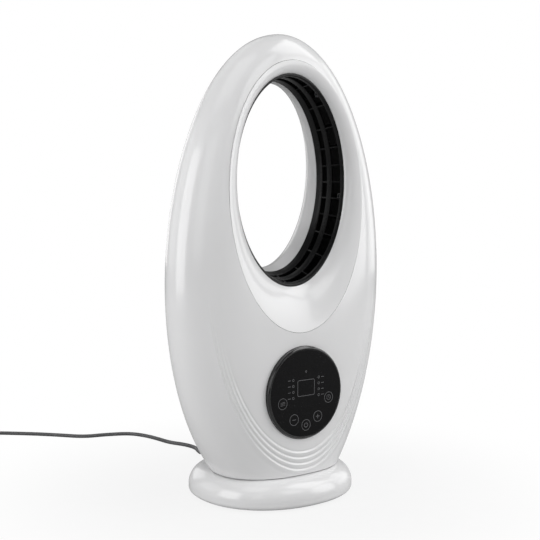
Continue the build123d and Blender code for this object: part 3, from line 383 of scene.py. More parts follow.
def egg_and_plane(p):
    """Closeness of a point to the egg |x/a|^n + |(y-m)/b|^n = 1 and to the leaning front plane, both
    negative inside."""
    x, y, z = p[..., 0], p[..., 1], p[..., 2]
    a, b = half_width(z), half_depth(z)
    q = np.abs(x / a) ** SECTION_POWER + np.abs((y - MID_Y - MID_LEAN * z) / b) ** SECTION_POWER
    return (q ** (1 / SECTION_POWER) - 1) * b, FACE_Y + FACE_LEAN * z - y


def skin(p, sizes):
    """Signed closeness to the tower's surface, negative inside: smooth maximum of egg and plane."""
    egg, plane = egg_and_plane(p)
    k = crease_softness(p[..., 2], sizes)
    blend = np.maximum(k - np.abs(egg - plane), 0) / k
    return np.maximum(np.maximum(egg, plane) + blend ** 2 * k / 4, p[..., 2] - HEIGHT)


def skin_normals(p, sizes):
    """Outward unit normals of the tower's surface: the slope of its closeness, taken over a tenth of a
    millimetre along each axis."""
    slope = np.stack([skin(p + step, sizes) - skin(p - step, sizes) for step in np.eye(3) * 0.00005], -1)
    return slope / np.linalg.norm(slope, axis=-1, keepdims=True)


def crossing(low, high, keep):
    """Largest values between low and high for which keep is true, by halving."""
    for _ in range(36):
        middle = (low + high) / 2
        inside = keep(middle)
        low, high = np.where(inside, middle, low), np.where(inside, high, middle)
    return low


def seen(direction, sizes):
    """Points of the tower's surface seen from the core in given directions."""
    reach = crossing(np.zeros(direction.shape[:-1]), np.full(direction.shape[:-1], 0.6),
                     lambda d: skin(CORE + d[..., None] * direction, sizes) < 0)
    return CORE + reach[..., None] * direction


def swung(across, upward, psi):
    """Directions in the plane of each column, psi from straight ahead: (sin psi, -cos psi)."""
    return np.stack([np.sin(psi) * across, -np.cos(psi), np.sin(psi) * upward], -1)


def between(first, last, share):
    """Directions on the way from the first to the last ones."""
    mixed = first * (1 - share[..., None]) + last * share[..., None]
    return mixed / np.linalg.norm(mixed, axis=-1, keepdims=True)


def towards(points):
    """Directions from the core to points."""
    away = points - CORE
    return away / np.linalg.norm(away, axis=-1, keepdims=True)


def parting_gap(p):
    """How far a point lies behind the parting plane between the two shells."""
    return p[..., 1] - PARTING_Y - PARTING_LEAN * p[..., 2]


def foot_corner(sizes):
    """Half width of the tower's foot where the parting plane meets it."""
    y = PARTING_Y + PARTING_LEAN * TOWER_FOOT
    return float(crossing(np.array(0.02), np.array(0.12),
                          lambda x: skin(np.array([x, y, TOWER_FOOT]), sizes) < 0))


def foot_edge(flat, sizes):
    """Points of the foot's outline that lie in the flat unit directions from its middle."""
    middle = np.array([0.0, MID_Y + MID_LEAN * TOWER_FOOT])

    def at(reach):
        return np.column_stack([middle + flat * reach[:, None], np.full(len(flat), TOWER_FOOT)])

    return at(crossing(np.zeros(len(flat)), np.full(len(flat), 0.2), lambda d: skin(at(d), sizes) < 0))


def lifted_to_foot(points, sizes):
    """Surface points that lie below the foot's plane, moved to its outline in their own flat direction."""
    low = points[..., 2] < TOWER_FOOT
    flat = points[low][:, :2] - np.array([0.0, MID_Y + MID_LEAN * TOWER_FOOT])
    lifted = points.copy()
    lifted[low] = foot_edge(flat / np.linalg.norm(flat, axis=-1, keepdims=True), sizes)
    return lifted


def foot_outline(count, behind, sizes):
    """Evenly spaced points of the foot's outline from its left to its right corner, in front or behind."""
    corner = np.array([foot_corner(sizes), PARTING_Y + PARTING_LEAN * TOWER_FOOT])
    middle = np.array([0.0, MID_Y + MID_LEAN * TOWER_FOOT])
    turn = math.atan2(corner[1] - middle[1], corner[0])
    angle = (np.linspace(math.pi - turn, turn, 400) if behind
             else np.linspace(math.pi - turn, 2 * math.pi + turn, 400))
    outline = foot_edge(np.stack([np.cos(angle), np.sin(angle)], -1), sizes)
    arc = np.concatenate([[0], np.cumsum(np.linalg.norm(np.diff(outline, axis=0), axis=1))])
    return np.stack([np.interp(np.linspace(0, arc[-1], count), arc, outline[:, i]) for i in range(3)], -1)


def column_directions(sizes):
    """Directions of the columns round the hairline, and which of them end at the foot; the first and the
    last of those run through its corners."""
    corner = math.atan2((TOWER_FOOT - SCOOP_MID_Z) / SCOOP_HALF_Z, foot_corner(sizes) / SCOOP_HALF_X)
    foot = max(24, round(sizes.columns * 0.24))
    lower = np.linspace(-math.pi - corner, corner, foot)
    rest = np.linspace(corner, math.pi - corner, sizes.columns - foot + 2)[1:-1]
    theta = np.concatenate([rest, lower])
    direction = np.stack([SCOOP_HALF_X * np.cos(theta), SCOOP_HALF_Z * np.sin(theta)])
    reach = np.linalg.norm(direction, axis=0)
    return direction[0] / reach, direction[1] / reach, reach, foot


def along_columns(first, last, stops, counts, sizes):
    """Grid of surface points: in each column the ways between stops are spaced evenly by arc length."""
    fine, columns = 260, len(first)
    share = np.repeat(np.linspace(0, 1, fine)[:, None], columns, 1)
    points = seen(between(first, last, share), sizes)
    step = np.linalg.norm(np.diff(points, axis=0), axis=-1)
    arc = np.concatenate([np.zeros((1, columns)), np.cumsum(step, 0)])
    lift = np.arange(columns) * (arc.max() * 2)
    flat_arc, order = (arc + lift).T.ravel(), np.arange(columns) * 10
    flat_share = (share + order).T.ravel()
    arcs = [np.interp(stop + order, flat_share, flat_arc) - lift for stop in stops]
    rows = [a + (b - a) * np.linspace(0, 1, n, endpoint=False)[:, None] for a, b, n in
            zip(arcs, arcs[1:], counts)] + [arcs[-1][None]]
    target = np.concatenate(rows)
    chosen = np.interp((target + lift).ravel(), flat_arc, flat_share).reshape(target.shape) - order
    return seen(between(first, last, np.clip(chosen, 0, 1)), sizes)


def ellipse_gap(p, half_x, middle_z, half_z):
    """How far outside an upright ellipse a point lies, seen from the front."""
    u, w = p[..., 0] / half_x, (p[..., 2] - middle_z) / half_z
    e = np.maximum(np.hypot(u, w), 1e-6)
    return (e - 1) * e / np.maximum(np.hypot(u / half_x, w / half_z), 1e-6)


def ridge_height(p, sizes):
    """Height of the ridges: below each ridge line the surface stands out sharply and slopes back over one
    pitch, with a shallow groove above the line; each ridge fades out on its way up."""
    total = np.zeros(p.shape[:-1])
    pitch = (RIDGE_OUTER[2] - RIDGE_OUTER[1] - RIDGE_INNER[2] + RIDGE_INNER[1]) / (RIDGE_COUNT - 1)
    for i in range(RIDGE_COUNT):
        t = i / (RIDGE_COUNT - 1)
        away = ellipse_gap(p, *(a + (b - a) * t for a, b in zip(RIDGE_INNER, RIDGE_OUTER)))
        step = smoothstep((away + RIDGE_STEP / 2) / RIDGE_STEP) * (1 - smoothstep(away / pitch))
        groove = np.exp(-((away + GROOVE_AWAY) / GROOVE_WIDTH) ** 2)
        fade = smoothstep((RIDGE_TOPS[0] + (RIDGE_TOPS[1] - RIDGE_TOPS[0]) * t - p[..., 2]) / 0.11)
        total += (step - 0.35 * groove) * fade
    return total * sizes.ridge_height * (p[..., 1] < -0.02)


def front_grid(sizes):
    """Front half of the tower: columns from the hairline over the crease to the parting line or the foot."""
    across, upward, reach, foot = column_directions(sizes)
    start = crossing(np.full(across.shape, 0.3), np.full(across.shape, math.pi / 2), lambda psi: reach_of(
        seen(swung(across, upward, psi), sizes)) < reach + sizes.hairline)
    end = crossing(np.full(across.shape, 1.0), np.full(across.shape, math.pi * 0.75), lambda psi: parting_gap(
        seen(swung(across, upward, psi), sizes)) < -0.0001)
    first, last = swung(across, upward, start), swung(across, upward, end)
    last[-foot:] = towards(foot_outline(foot, False, sizes))
    lower = smoothstep((-upward - 0.42) / 0.22)
    stops = [np.zeros(across.shape)]
    for crease_room, ridge_room, ridge in ((0.005, 0.004, RIDGE_INNER), (-0.009, -0.004, RIDGE_OUTER)):
        stops.append(crossing(np.zeros(across.shape), np.ones(across.shape), lambda share: stop_field(
            seen(between(first, last, share), sizes), lower, crease_room, ridge_room, ridge) < 0))
    stops = [stops[0], np.clip(stops[1], 0.02, 0.90), np.clip(stops[2], stops[1] + 0.02, 0.98),
             np.ones(across.shape)]
    points = lifted_to_foot(along_columns(first, last, stops, [30, 46, 28], sizes), sizes)
    height = ridge_height(points, sizes) * smoothstep((points[..., 2] - TOWER_FOOT) / RIDGE_CLEAR)
    return points + skin_normals(points, sizes) * height[..., None]


def reach_of(p):
    """Distance of a point from the hairline's middle, seen from the front."""
    return np.hypot(p[..., 0], p[..., 2] - SCOOP_MID_Z)


def stop_field(p, lower, crease_room, ridge_room, ridge):
    """Blend of two measures that grow outwards: past the crease above, past a ridge line below."""
    egg, plane = egg_and_plane(p)
    return (egg - plane + crease_room) * (1 - lower) + (ellipse_gap(p, *ridge) + ridge_room) * lower


def flare_depth_of(p):
    """Depth of the leaning cross-section of the flare on which a point lies."""
    rise = p[..., 2] - THROAT_MID_Z
    return p[..., 1] - rise * math.tan((THROAT_TILT + FLARE_TILT) / 2)


def flare_radial(turn_or_more, grow=0.0):
    """Growth and depth of the flare: a quarter curve up to its last turn, then straight on; grow moves it
    square to its wall."""
    turn = np.minimum(turn_or_more, FLARE_TURN)
    beyond = np.maximum(turn_or_more - FLARE_TURN, 0) * 0.06
    slope = math.atan2(FLARE_WIDTH * math.sin(FLARE_TURN), FLARE_DEPTH * math.cos(FLARE_TURN))
    lean = slope * turn / FLARE_TURN
    return (FLARE_WIDTH * (1 - np.cos(turn)) + beyond * math.sin(slope) + grow * np.cos(lean),
            THROAT_Y + FLARE_DEPTH * np.sin(turn) + beyond * math.cos(slope) - grow * np.sin(lean))


def flare_point(angle, turn, grow=0.0):
    """Point of the flare's wall at an angle round it and a turn along it."""
    radial, depth = flare_radial(turn, grow)
    tilt = THROAT_TILT + (FLARE_TILT - THROAT_TILT) * np.sin(np.minimum(turn, FLARE_TURN))
    up = (THROAT_HALF_Z + radial) * np.sin(angle)
    return np.stack([(THROAT_HALF_X + radial) * np.cos(angle), depth + up * np.sin(tilt),
                     THROAT_MID_Z + up * np.cos(tilt)], -1)


def flare_room(p, grow):
    """How far outside the flare, made larger by grow, a point lies, measured on the wall's cross-section."""
    radial, depth = flare_radial(np.linspace(0, FLARE_TURN + 0.8, 160), grow)
    grown = np.interp(flare_depth_of(p), depth, radial)
    along_x, along_z = THROAT_HALF_X + grown, THROAT_HALF_Z + grown
    e = np.hypot(p[..., 0] / along_x, (p[..., 2] - THROAT_MID_Z) / along_z)
    return (e - 1) * along_x


def rear_grid(sizes):
    """Rear half of the tower: columns from the parting line or the foot to the flare's edge."""
    across, upward, _, foot = column_directions(sizes)
    start = crossing(np.full(across.shape, 1.0), np.full(across.shape, math.pi * 0.75),
                     lambda psi: parting_gap(
        seen(swung(across, upward, psi), sizes)) < 0.0001)
    end = crossing(start, np.full(across.shape, math.pi * 0.99), lambda psi: flare_room(
        seen(swung(across, upward, psi), sizes), WALL + 0.0003) > 0)
    first, last = swung(across, upward, start), swung(across, upward, end)
    first[-foot:] = towards(foot_outline(foot, True, sizes))
    return along_columns(first, last, [np.zeros(across.shape), np.ones(across.shape)], [74], sizes)


# ================================================================ air way
def scoop_points(angle, turn, grow=0.0):
    """Scoop: ellipses that shrink and go deeper as the surface turns from the face towards the opening."""
    front_y = FACE_Y + FACE_LEAN * SCOOP_MID_Z
    inward = (np.sin(turn) - math.sin(SCOOP_START)) / (math.sin(SCOOP_TURN) - math.sin(SCOOP_START))
    deeper = (math.cos(SCOOP_START) - np.cos(turn)) / (math.cos(SCOOP_START) - math.cos(SCOOP_TURN))
    tilt = math.atan(FACE_LEAN) * (1 - deeper)
    half_x = SCOOP_HALF_X + inward * (OUTLET_HALF_X - SCOOP_HALF_X) + grow * np.sin(turn)
    half_z = SCOOP_HALF_Z + inward * (OUTLET_HALF_Z - SCOOP_HALF_Z) + grow * np.sin(turn)
    up = half_z * np.sin(angle)
    return np.stack([half_x * np.cos(angle),
                     front_y + deeper * (OUTLET_Y - front_y) + grow * np.cos(turn) + up * np.sin(tilt),
                     SCOOP_MID_Z + inward * (OUTLET_MID_Z - SCOOP_MID_Z) + up * np.cos(tilt)], -1)


def air_way_points(angle, depth, grow):
    """Black outlet: an ellipse whose half sizes and middle change evenly with depth, made larger by grow."""
    t = (depth - OUTLET_Y) / (THROAT_Y - OUTLET_Y)
    half_x = OUTLET_HALF_X + t * (THROAT_HALF_X - OUTLET_HALF_X) + grow
    half_z = OUTLET_HALF_Z + t * (THROAT_HALF_Z - OUTLET_HALF_Z) + grow
    middle = OUTLET_MID_Z + t * (THROAT_MID_Z - OUTLET_MID_Z)
    return np.stack([half_x * np.cos(angle), depth + 0 * angle, middle + half_z * np.sin(angle)], -1)


def round_angles(count):
    """Evenly spaced angles once round."""
    return np.linspace(0, 2 * math.pi, count, endpoint=False)[None, :]


# ================================================================ shader maths
class Value:
    """A shader socket or a number that can be added, multiplied and compared like a number."""

    def __init__(self, sheet, link):
        self.sheet, self.link = sheet, link

    def math(self, operation, *others, clamp=False):
        """One Math node on this value and others."""
        return self.sheet.node("ShaderNodeMath", {"operation": operation, "use_clamp": clamp},
                               dict(enumerate((self,) + others)))

    def __add__(self, other):
        return self.math("ADD", other)

    __radd__ = __add__

    def __mul__(self, other):
        return self.math("MULTIPLY", other)

    __rmul__ = __mul__

    def __sub__(self, other):
        return self.math("SUBTRACT", other)

    def __rsub__(self, other):
        return self * -1 + other

    def __truediv__(self, other):
        return self.math("DIVIDE", other)

    def __pow__(self, other):
        return self.math("POWER", other)

    def __abs__(self):
        return self.math("ABSOLUTE")

    def __lt__(self, other):
        return self.math("LESS_THAN", other)

    def __gt__(self, other):
        return self.math("GREATER_THAN", other)

    def clamped(self):
        """This value kept between 0 and 1."""
        return self.math("ADD", 0.0, clamp=True)

    def ramp(self, low, high):
        """0 at low, 1 at high, smooth between."""
        return self.sheet.node("ShaderNodeMapRange", {"interpolation_type": "SMOOTHSTEP"},
                               {"Value": self, "From Min": low, "From Max": high})


class Finish:
    """One material: a node sheet with a Principled shader at its end."""

    def __init__(self, name):
        self.material = bpy.data.materials.new(name)
        self.material.use_nodes = True
        self.tree = self.material.node_tree
        self.shader = self.tree.nodes["Principled BSDF"]

    def put(self, socket, value):
        """Sets a socket to a number or colour, or links a value to it."""
        if isinstance(value, Value):
            self.tree.links.new(value.link, socket)
        elif hasattr(value, "__len__") and len(value) == 3 and socket.type == "RGBA":
            socket.default_value = (*value, 1)
        else:
            socket.default_value = value

    def node(self, kind, settings, sockets, out=0):
        """Any node: its settings first, then the values or links of its sockets; returns one output."""
        node = self.tree.nodes.new(kind)
        for key, setting in settings.items():
            setattr(node, key, setting)
        for key, value in sockets.items():
            self.put(node.inputs[key], value)
        return Value(self, node.outputs[out])

    def place_on(self, scale=(1, 1, 1), turn=(0, 0, 0), shift=(0, 0, 0)):
        """The point on the object, centred, turned and scaled."""
        where = self.node("ShaderNodeTexCoord", {}, {}, "Object")
        return self.node("ShaderNodeMapping", {}, {"Vector": where, "Location": shift, "Rotation": turn,
                                                   "Scale": scale})

    def noise(self, scale, detail=3.0, roughness=0.5, stretch=(1, 1, 1)):
        """Soft random pattern; scale is in repeats per metre."""
        return self.node("ShaderNodeTexNoise", {}, {"Vector": self.place_on(stretch), "Scale": scale,
                                                    "Detail": detail, "Roughness": roughness})

    def mix(self, share, first, second):
        """Colour between two colours."""
        node = self.tree.nodes.new("ShaderNodeMix")
        node.data_type = "RGBA"
        self.put(node.inputs["Factor"], share)
        self.put(node.inputs[6], first)
        self.put(node.inputs[7], second)
        return Value(self, node.outputs[2])

    def axes(self, vector):
        """The three parts of a vector."""
        node = self.tree.nodes.new("ShaderNodeSeparateXYZ")
        self.put(node.inputs[0], vector)
        return [Value(self, out) for out in node.outputs]

    def done(self, colour, roughness, metallic=0.0, coat=0.0, bump=None, depth=0.00002, **constants):
        """Fills in the shader. bump is a height from 0 to 1, worth depth metres."""
        for key, value in {"Base Color": colour, "Roughness": roughness, "Metallic": metallic,
                           "Coat Weight": coat, **constants}.items():
            self.put(self.shader.inputs[key], value)
        if bump is not None:
            self.put(self.shader.inputs["Normal"], self.node(
                "ShaderNodeBump", {}, {"Strength": 1.0, "Distance": depth, "Height": bump}))
        return self.material


def shade(colour, factor):
    """A colour made lighter or darker."""
    return tuple(min(c * factor, 1.0) for c in colour)


def gloss_white(name, colour):
    """Glossy moulded plastic: faint orange peel, a trace of flow variation and fine handling marks."""
    sheet = Finish(name)
    flow = sheet.noise(7, 2).ramp(0.35, 0.65)
    peel = sheet.noise(620, 1.5)
    rub = sheet.noise(2600, 3, 0.6, (1, 1, 0.12)).ramp(0.66, 0.82)
    tone = sheet.mix(flow, shade(colour, 0.985), shade(colour, 1.012))
    return sheet.done(tone, 0.21 + rub * 0.06 + flow * 0.02, coat=0.45, bump=peel * 0.8 + rub * 0.1,
                      depth=0.0000022, **{"Coat Roughness": 0.09, "IOR": 1.47})


def satin_black(name, colour):
    """Satin black moulding: fine spark-eroded grain and a cloudy tone."""
    sheet = Finish(name)
    grain = sheet.noise(3800, 2, 0.6)
    cloud = sheet.noise(24, 3).ramp(0.3, 0.7)
    tone = sheet.mix(cloud, shade(colour, 0.85), shade(colour, 1.35))
    return sheet.done(tone, 0.22 + cloud * 0.05 + grain * 0.04, bump=grain, depth=0.000006,
                      **{"Specular IOR Level": 0.22})


def gloss_black(name, colour, roughness=0.08, specular=0.5, coat=0.4):
    """High-gloss black with faint wiping marks."""
    sheet = Finish(name)
    wipe = sheet.noise(60, 4, 0.65, (1, 1, 4)).ramp(0.45, 0.75)
    tone = sheet.mix(wipe, colour, shade(colour, 1.3))
    return sheet.done(tone, roughness + wipe * 0.05, coat=coat,
                      **{"Coat Roughness": 0.03, "Specular IOR Level": specular})


def moulded(name, colour, roughness=0.5, grain_scale=2400, depth=0.00002):
    """Matt moulded plastic or rubber with a fine grain and slight clouding."""
    sheet = Finish(name)
    grain = sheet.noise(grain_scale, 3, 0.6)
    cloud = sheet.noise(35, 3).ramp(0.3, 0.7)
    tone = sheet.mix(cloud, shade(colour, 0.9), shade(colour, 1.1))
    return sheet.done(tone, roughness + grain * 0.12 - 0.06, bump=grain, depth=depth)


def plated(name, colour, roughness=0.28):
    """Zinc or nickel plated steel: brushed streaks and cloudy passivation."""
    sheet = Finish(name)
    streak = sheet.noise(1400, 3, 0.7, (1, 1, 0.06))
    cloud = sheet.noise(90, 3).ramp(0.35, 0.7)
    tone = sheet.mix(cloud, shade(colour, 0.88), shade(colour, 1.05))
    return sheet.done(tone, roughness + streak * 0.14, metallic=1.0, bump=streak, depth=0.000004)


def board_finish(name):
    """Circuit board: green mask, lighter tracks on a fine grid, tinned pads at the crossings."""
    sheet = Finish(name)
    x, y, z = sheet.axes(sheet.place_on((1, 1, 1)))
    across, along = x * 380, (y + z) * 380
    track_a = abs(across.math("FRACT") - 0.5) < 0.14
    track_b = abs(along.math("FRACT") - 0.5) < 0.12
    patch = sheet.noise(110, 1).ramp(0.48, 0.52)
    track = (track_a * patch + track_b * (1 - patch)).clamped()
    pad = track_a * track_b * (sheet.noise(300, 0) > 0.56)
    mask = sheet.mix(track, (0.012, 0.12, 0.045), (0.03, 0.22, 0.085))
    return sheet.done(sheet.mix(pad, mask, (0.62, 0.62, 0.58)), 0.32 - pad * 0.08, metallic=pad * 0.9,
                      bump=track, depth=0.00003)


def components_finish(name):
    """Component bodies: charcoal epoxy that turns blue-grey in bands, with a fine grain."""
    sheet = Finish(name)
    band = sheet.noise(45, 1, 0.5, (1, 1, 0.2)).ramp(0.44, 0.56)
    grain = sheet.noise(2600, 2)
    return sheet.done(sheet.mix(band, (0.028, 0.028, 0.031), (0.05, 0.06, 0.085)), 0.42 + grain * 0.1,
                      bump=grain, depth=0.00001)


def clear_guide(name):
    """Milky clear acrylic."""
    sheet = Finish(name)
    haze = sheet.noise(500, 2)
    return sheet.done(sheet.mix(haze, (0.72, 0.74, 0.72), (0.86, 0.88, 0.86)), 0.12 + haze * 0.06)


def cord_sheath(name, colour):
    """Flexible sheath: fine extrusion lines and a dusty bloom."""
    sheet = Finish(name)
    bloom = sheet.noise(120, 3).ramp(0.4, 0.7)
    lines = sheet.noise(2200, 2, 0.6)
    tone = sheet.mix(bloom, shade(colour, 0.88), shade(colour, 1.2))
    return sheet.done(tone, 0.38 + lines * 0.12, bump=lines, depth=0.00003)


FINISHES = {}


def make_finishes():
    """All finishes, by the name of the record's material slot."""
    c = bpy.context.scene.fan_colours
    FINISHES.update({
        "white_gloss": gloss_white("glossy white shell", c.white),
        "white_base": gloss_white("glossy white base", c.white),
        "black_satin": satin_black("satin black outlet", c.black),
        "black_gloss": gloss_black("black bezel", c.black),
        "lens_gloss": gloss_black("smoked lens", c.lens, 0.10, 0.14, 0.0),
        "lens_marks": moulded("lens printing", c.marks, 0.35, 4000, 0.000002),
        "grey_plastic": moulded("filled grey plastic", (0.30, 0.30, 0.31), 0.5),
        "natural_plastic": moulded("slippery natural plastic", (0.78, 0.75, 0.68), 0.4),
        "rubber_black": moulded("soft black rubber", (0.022, 0.022, 0.022), 0.72, 1800, 0.00004),
        "rubber_grey": moulded("soft grey rubber", (0.16, 0.16, 0.165), 0.7, 1800, 0.00004),
        "cord_grey": cord_sheath("cord sheath", c.cord),
        "steel_zinc": plated("zinc plated steel", (0.60, 0.61, 0.63)),
        "steel_plain": moulded("coated steel", (0.09, 0.09, 0.095), 0.45, 900, 0.00005),
        "steel_bright": plated("ground steel", (0.70, 0.70, 0.72), 0.16),
        "pin_metal": plated("nickel plated pins", (0.74, 0.73, 0.69), 0.2),
        "board_green": board_finish("circuit board"),
        "parts_dark": components_finish("component bodies"),
        "spring_metal": plated("spring brass", (0.80, 0.58, 0.28), 0.22),
        "clear_guide": clear_guide("clear acrylic"),
        # painted shade: near-black finish that stands in for the shade on inner sides which a gap shows
        "dark_inside": moulded("painted shade inside", (0.012, 0.012, 0.012), 0.6),
    })


# ================================================================ pieces of the tower
def round_cutter(x, z, radius, front, back, segments=64):
    """Closed round bar that runs front to back."""
    profile = np.array([(0, front), (radius, front), (radius, back), (0, back)])
    return lathe(profile, segments, np.array([x, 0, z]), "Y")


def rounded_outline(half_x, half_z, middle_x, middle_z, radius, steps=10):
    """Rounded rectangle in the (x, z) plane."""
    corners = [(-half_x, -half_z), (half_x, -half_z), (half_x, half_z), (-half_x, half_z)]
    return rounded(np.array(corners) + (middle_x, middle_z), radius, steps)


def paint_shade_inside(mesh, inner_side):
    """Painted shade: the dark finish on the faces whose middles and normals pass the test, standing in for
    the shade inside the tower.
    """
    middles, normals = (np.zeros(len(mesh.polygons) * 3, np.float32) for _ in range(2))
    mesh.polygons.foreach_get("center", middles)
    mesh.polygons.foreach_get("normal", normals)
    mesh.materials.append(FINISHES["dark_inside"])
    dark = inner_side(middles.reshape(-1, 3), normals.reshape(-1, 3))
    mesh.polygons.foreach_set("material_index", dark.astype(np.int32))


def shell_piece(name, grid, cutters, body, node, sizes):
    """Thick shell from a grid of outer points, with holes, its inner wall painted dark as shade."""
    mesh = closed_mesh(name, *thick_sheet(grid, skin_normals(grid, sizes), WALL))
    mesh = cut(mesh, cutters) if cutters else mesh
    mesh.name = name
    piece = place(name, mesh, body, FINISHES["white_gloss"], [node])
    # painted shade: the shell's inner wall, inside the tower, is made dark
    paint_shade_inside(piece.data, lambda p, normal: (skin(p, sizes) < -INNER_DEPTH) & (
        np.sum(normal * towards(p), -1) < INNER_FACING))
    return piece


class FAN_OT_front_shell(bpy.types.Operator):
    """Front half of the tower, with its soft crease, ridges and the panel's hole"""

    bl_idname = "fan.front_shell"
    bl_label = "Front shell"

    def execute(self, context):
        sizes = context.scene.fan_sizes
        hole = round_cutter(0, PANEL_Z, PANEL_RADIUS + 0.0004, -0.12, -0.055, 128)
        shell_piece("tower_front", front_grid(sizes), [hole], "tower", "front_shell", sizes)
        return {"FINISHED"}


class FAN_OT_rear_shell(bpy.types.Operator):
    """Rear half of the tower, with the intake window and the screw recesses"""

    bl_idname = "fan.rear_shell"
    bl_label = "Rear shell"

    def execute(self, context):
        sizes = context.scene.fan_sizes
        low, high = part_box("intake_grille")
        window = prism(rounded_outline((high.x - low.x) / 2 + 0.0003, (high.z - low.z) / 2 + 0.0003, 0,
                                       (low.z + high.z) / 2, 0.020), 0.0, 0.09)
        holes = [round_cutter(x, z, SCREW_HOLE, parting_depth(z) + CUP_SEAT, 0.09, 28)
                 for x, z in screw_places()]
        shell_piece("tower_rear", rear_grid(sizes), [window] + holes, "tower", "rear_shell", sizes)
        return {"FINISHED"}


def parting_depth(z):
    """Depth of the parting plane at a height."""
    return PARTING_Y + PARTING_LEAN * z


def screw_places():
    """Places of the screws that join the shells, across and up."""
    half = [(0.088, 0.076), (0.142, 0.215), (0.126, 0.400), (0.080, 0.540)]
    return [(side * x, z) for x, z in half for side in (1, -1)] + [(0, 0.589)]


class FAN_OT_intake_grille(bpy.types.Operator):
    """Slotted grille in the rear window, following the tower's curve"""

    bl_idname = "fan.intake_grille"
    bl_label = "Intake grille"

    def execute(self, context):
        sizes = context.scene.fan_sizes
        low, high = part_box("intake_grille")
        middle = (low.z + high.z) / 2
        x = np.linspace(low.x - 0.004, high.x + 0.004, 90)
        z = np.linspace(low.z - 0.004, high.z + 0.004, 60)
        grid_x, grid_z = np.meshgrid(x, z)
        near, far = np.zeros(grid_x.shape), np.full(grid_x.shape, 0.1)
        for _ in range(36):
            y = (near + far) / 2
            inside = skin(np.stack([grid_x, y, grid_z], -1), sizes) < 0
            near, far = np.where(inside, y, near), np.where(inside, far, y)
        outer = np.stack([grid_x, near, grid_z], -1)
        inner = outer - (0, WALL, 0)
        rows, columns = grid_x.shape
        top, under = (grid_faces(rows, columns, False, False),
                      grid_faces(rows, columns, False, False, rows * columns))
        rim = np.concatenate([np.arange(columns), columns * np.arange(1, rows) + columns - 1,
                              rows * columns - 2 - np.arange(columns - 1),
                              columns * np.arange(rows - 2, 0, -1)])
        side = np.stack([rim, np.roll(rim, -1), np.roll(rim, -1) + rows * columns, rim + rows * columns], 1)
        sheet = closed_mesh("grille", np.concatenate([outer.reshape(-1, 3), inner.reshape(-1, 3)]),
                            np.concatenate([top, under[:, ::-1], side]))
        outline = rounded_outline((high.x - low.x) / 2, (high.z - low.z) / 2, 0, middle, 0.0197)
        sheet = cut(sheet, [prism(outline, -0.01, 0.1)], "INTERSECT")
        slots = []
        for row in range(12):
            for column in (-1, 0, 1):
                wide = column == 0 or 1 < row < 10
                reach, at = (0.017, 0.0375) if wide else (0.0135, 0.034)
                slots.append(prism(rounded_outline(reach, 0.0016, column * at, middle - 0.0339 + 0.006 * row,
                                                   0.0015, 4), -0.01, 0.1))
        sheet = cut(sheet, [stack(slots)])
        place("intake_louvre", sheet, "tower", FINISHES["white_gloss"], ["intake_grille"])
        return {"FINISHED"}


class FAN_OT_scoop(bpy.types.Operator):
    """White ring between the hairline and the black outlet"""

    bl_idname = "fan.scoop"
    bl_label = "Scoop"

    def execute(self, context):
        angle = round_angles(300)
        turn = np.linspace(SCOOP_START, SCOOP_TURN, 26)[:, None]
        front = scoop_points(angle, turn)
        rim = scoop_points(angle, np.full((1, 1), SCOOP_START))
        rim_back = rim + (0, 0.0035, 0)
        back = scoop_points(angle, turn[::-1] * 1.0, WALL)
        back[..., 1] = np.minimum(back[..., 1], OUTLET_Y - 0.0001)
        lip = scoop_points(angle, np.full((1, 1), SCOOP_TURN), 0.0012)
        lip[..., 1] = OUTLET_Y - 0.0001
        piece = place("scoop", closed_mesh("scoop", *ring_of(np.concatenate([front, lip, back, rim_back]))),
                      "tower", FINISHES["white_gloss"], ["scoop_ring"])
        # painted shade: the scoop's back faces, inside the tower, are made dark
        paint_shade_inside(piece.data, lambda p, normal: normal[:, 1] > BACK_FACING)
        return {"FINISHED"}


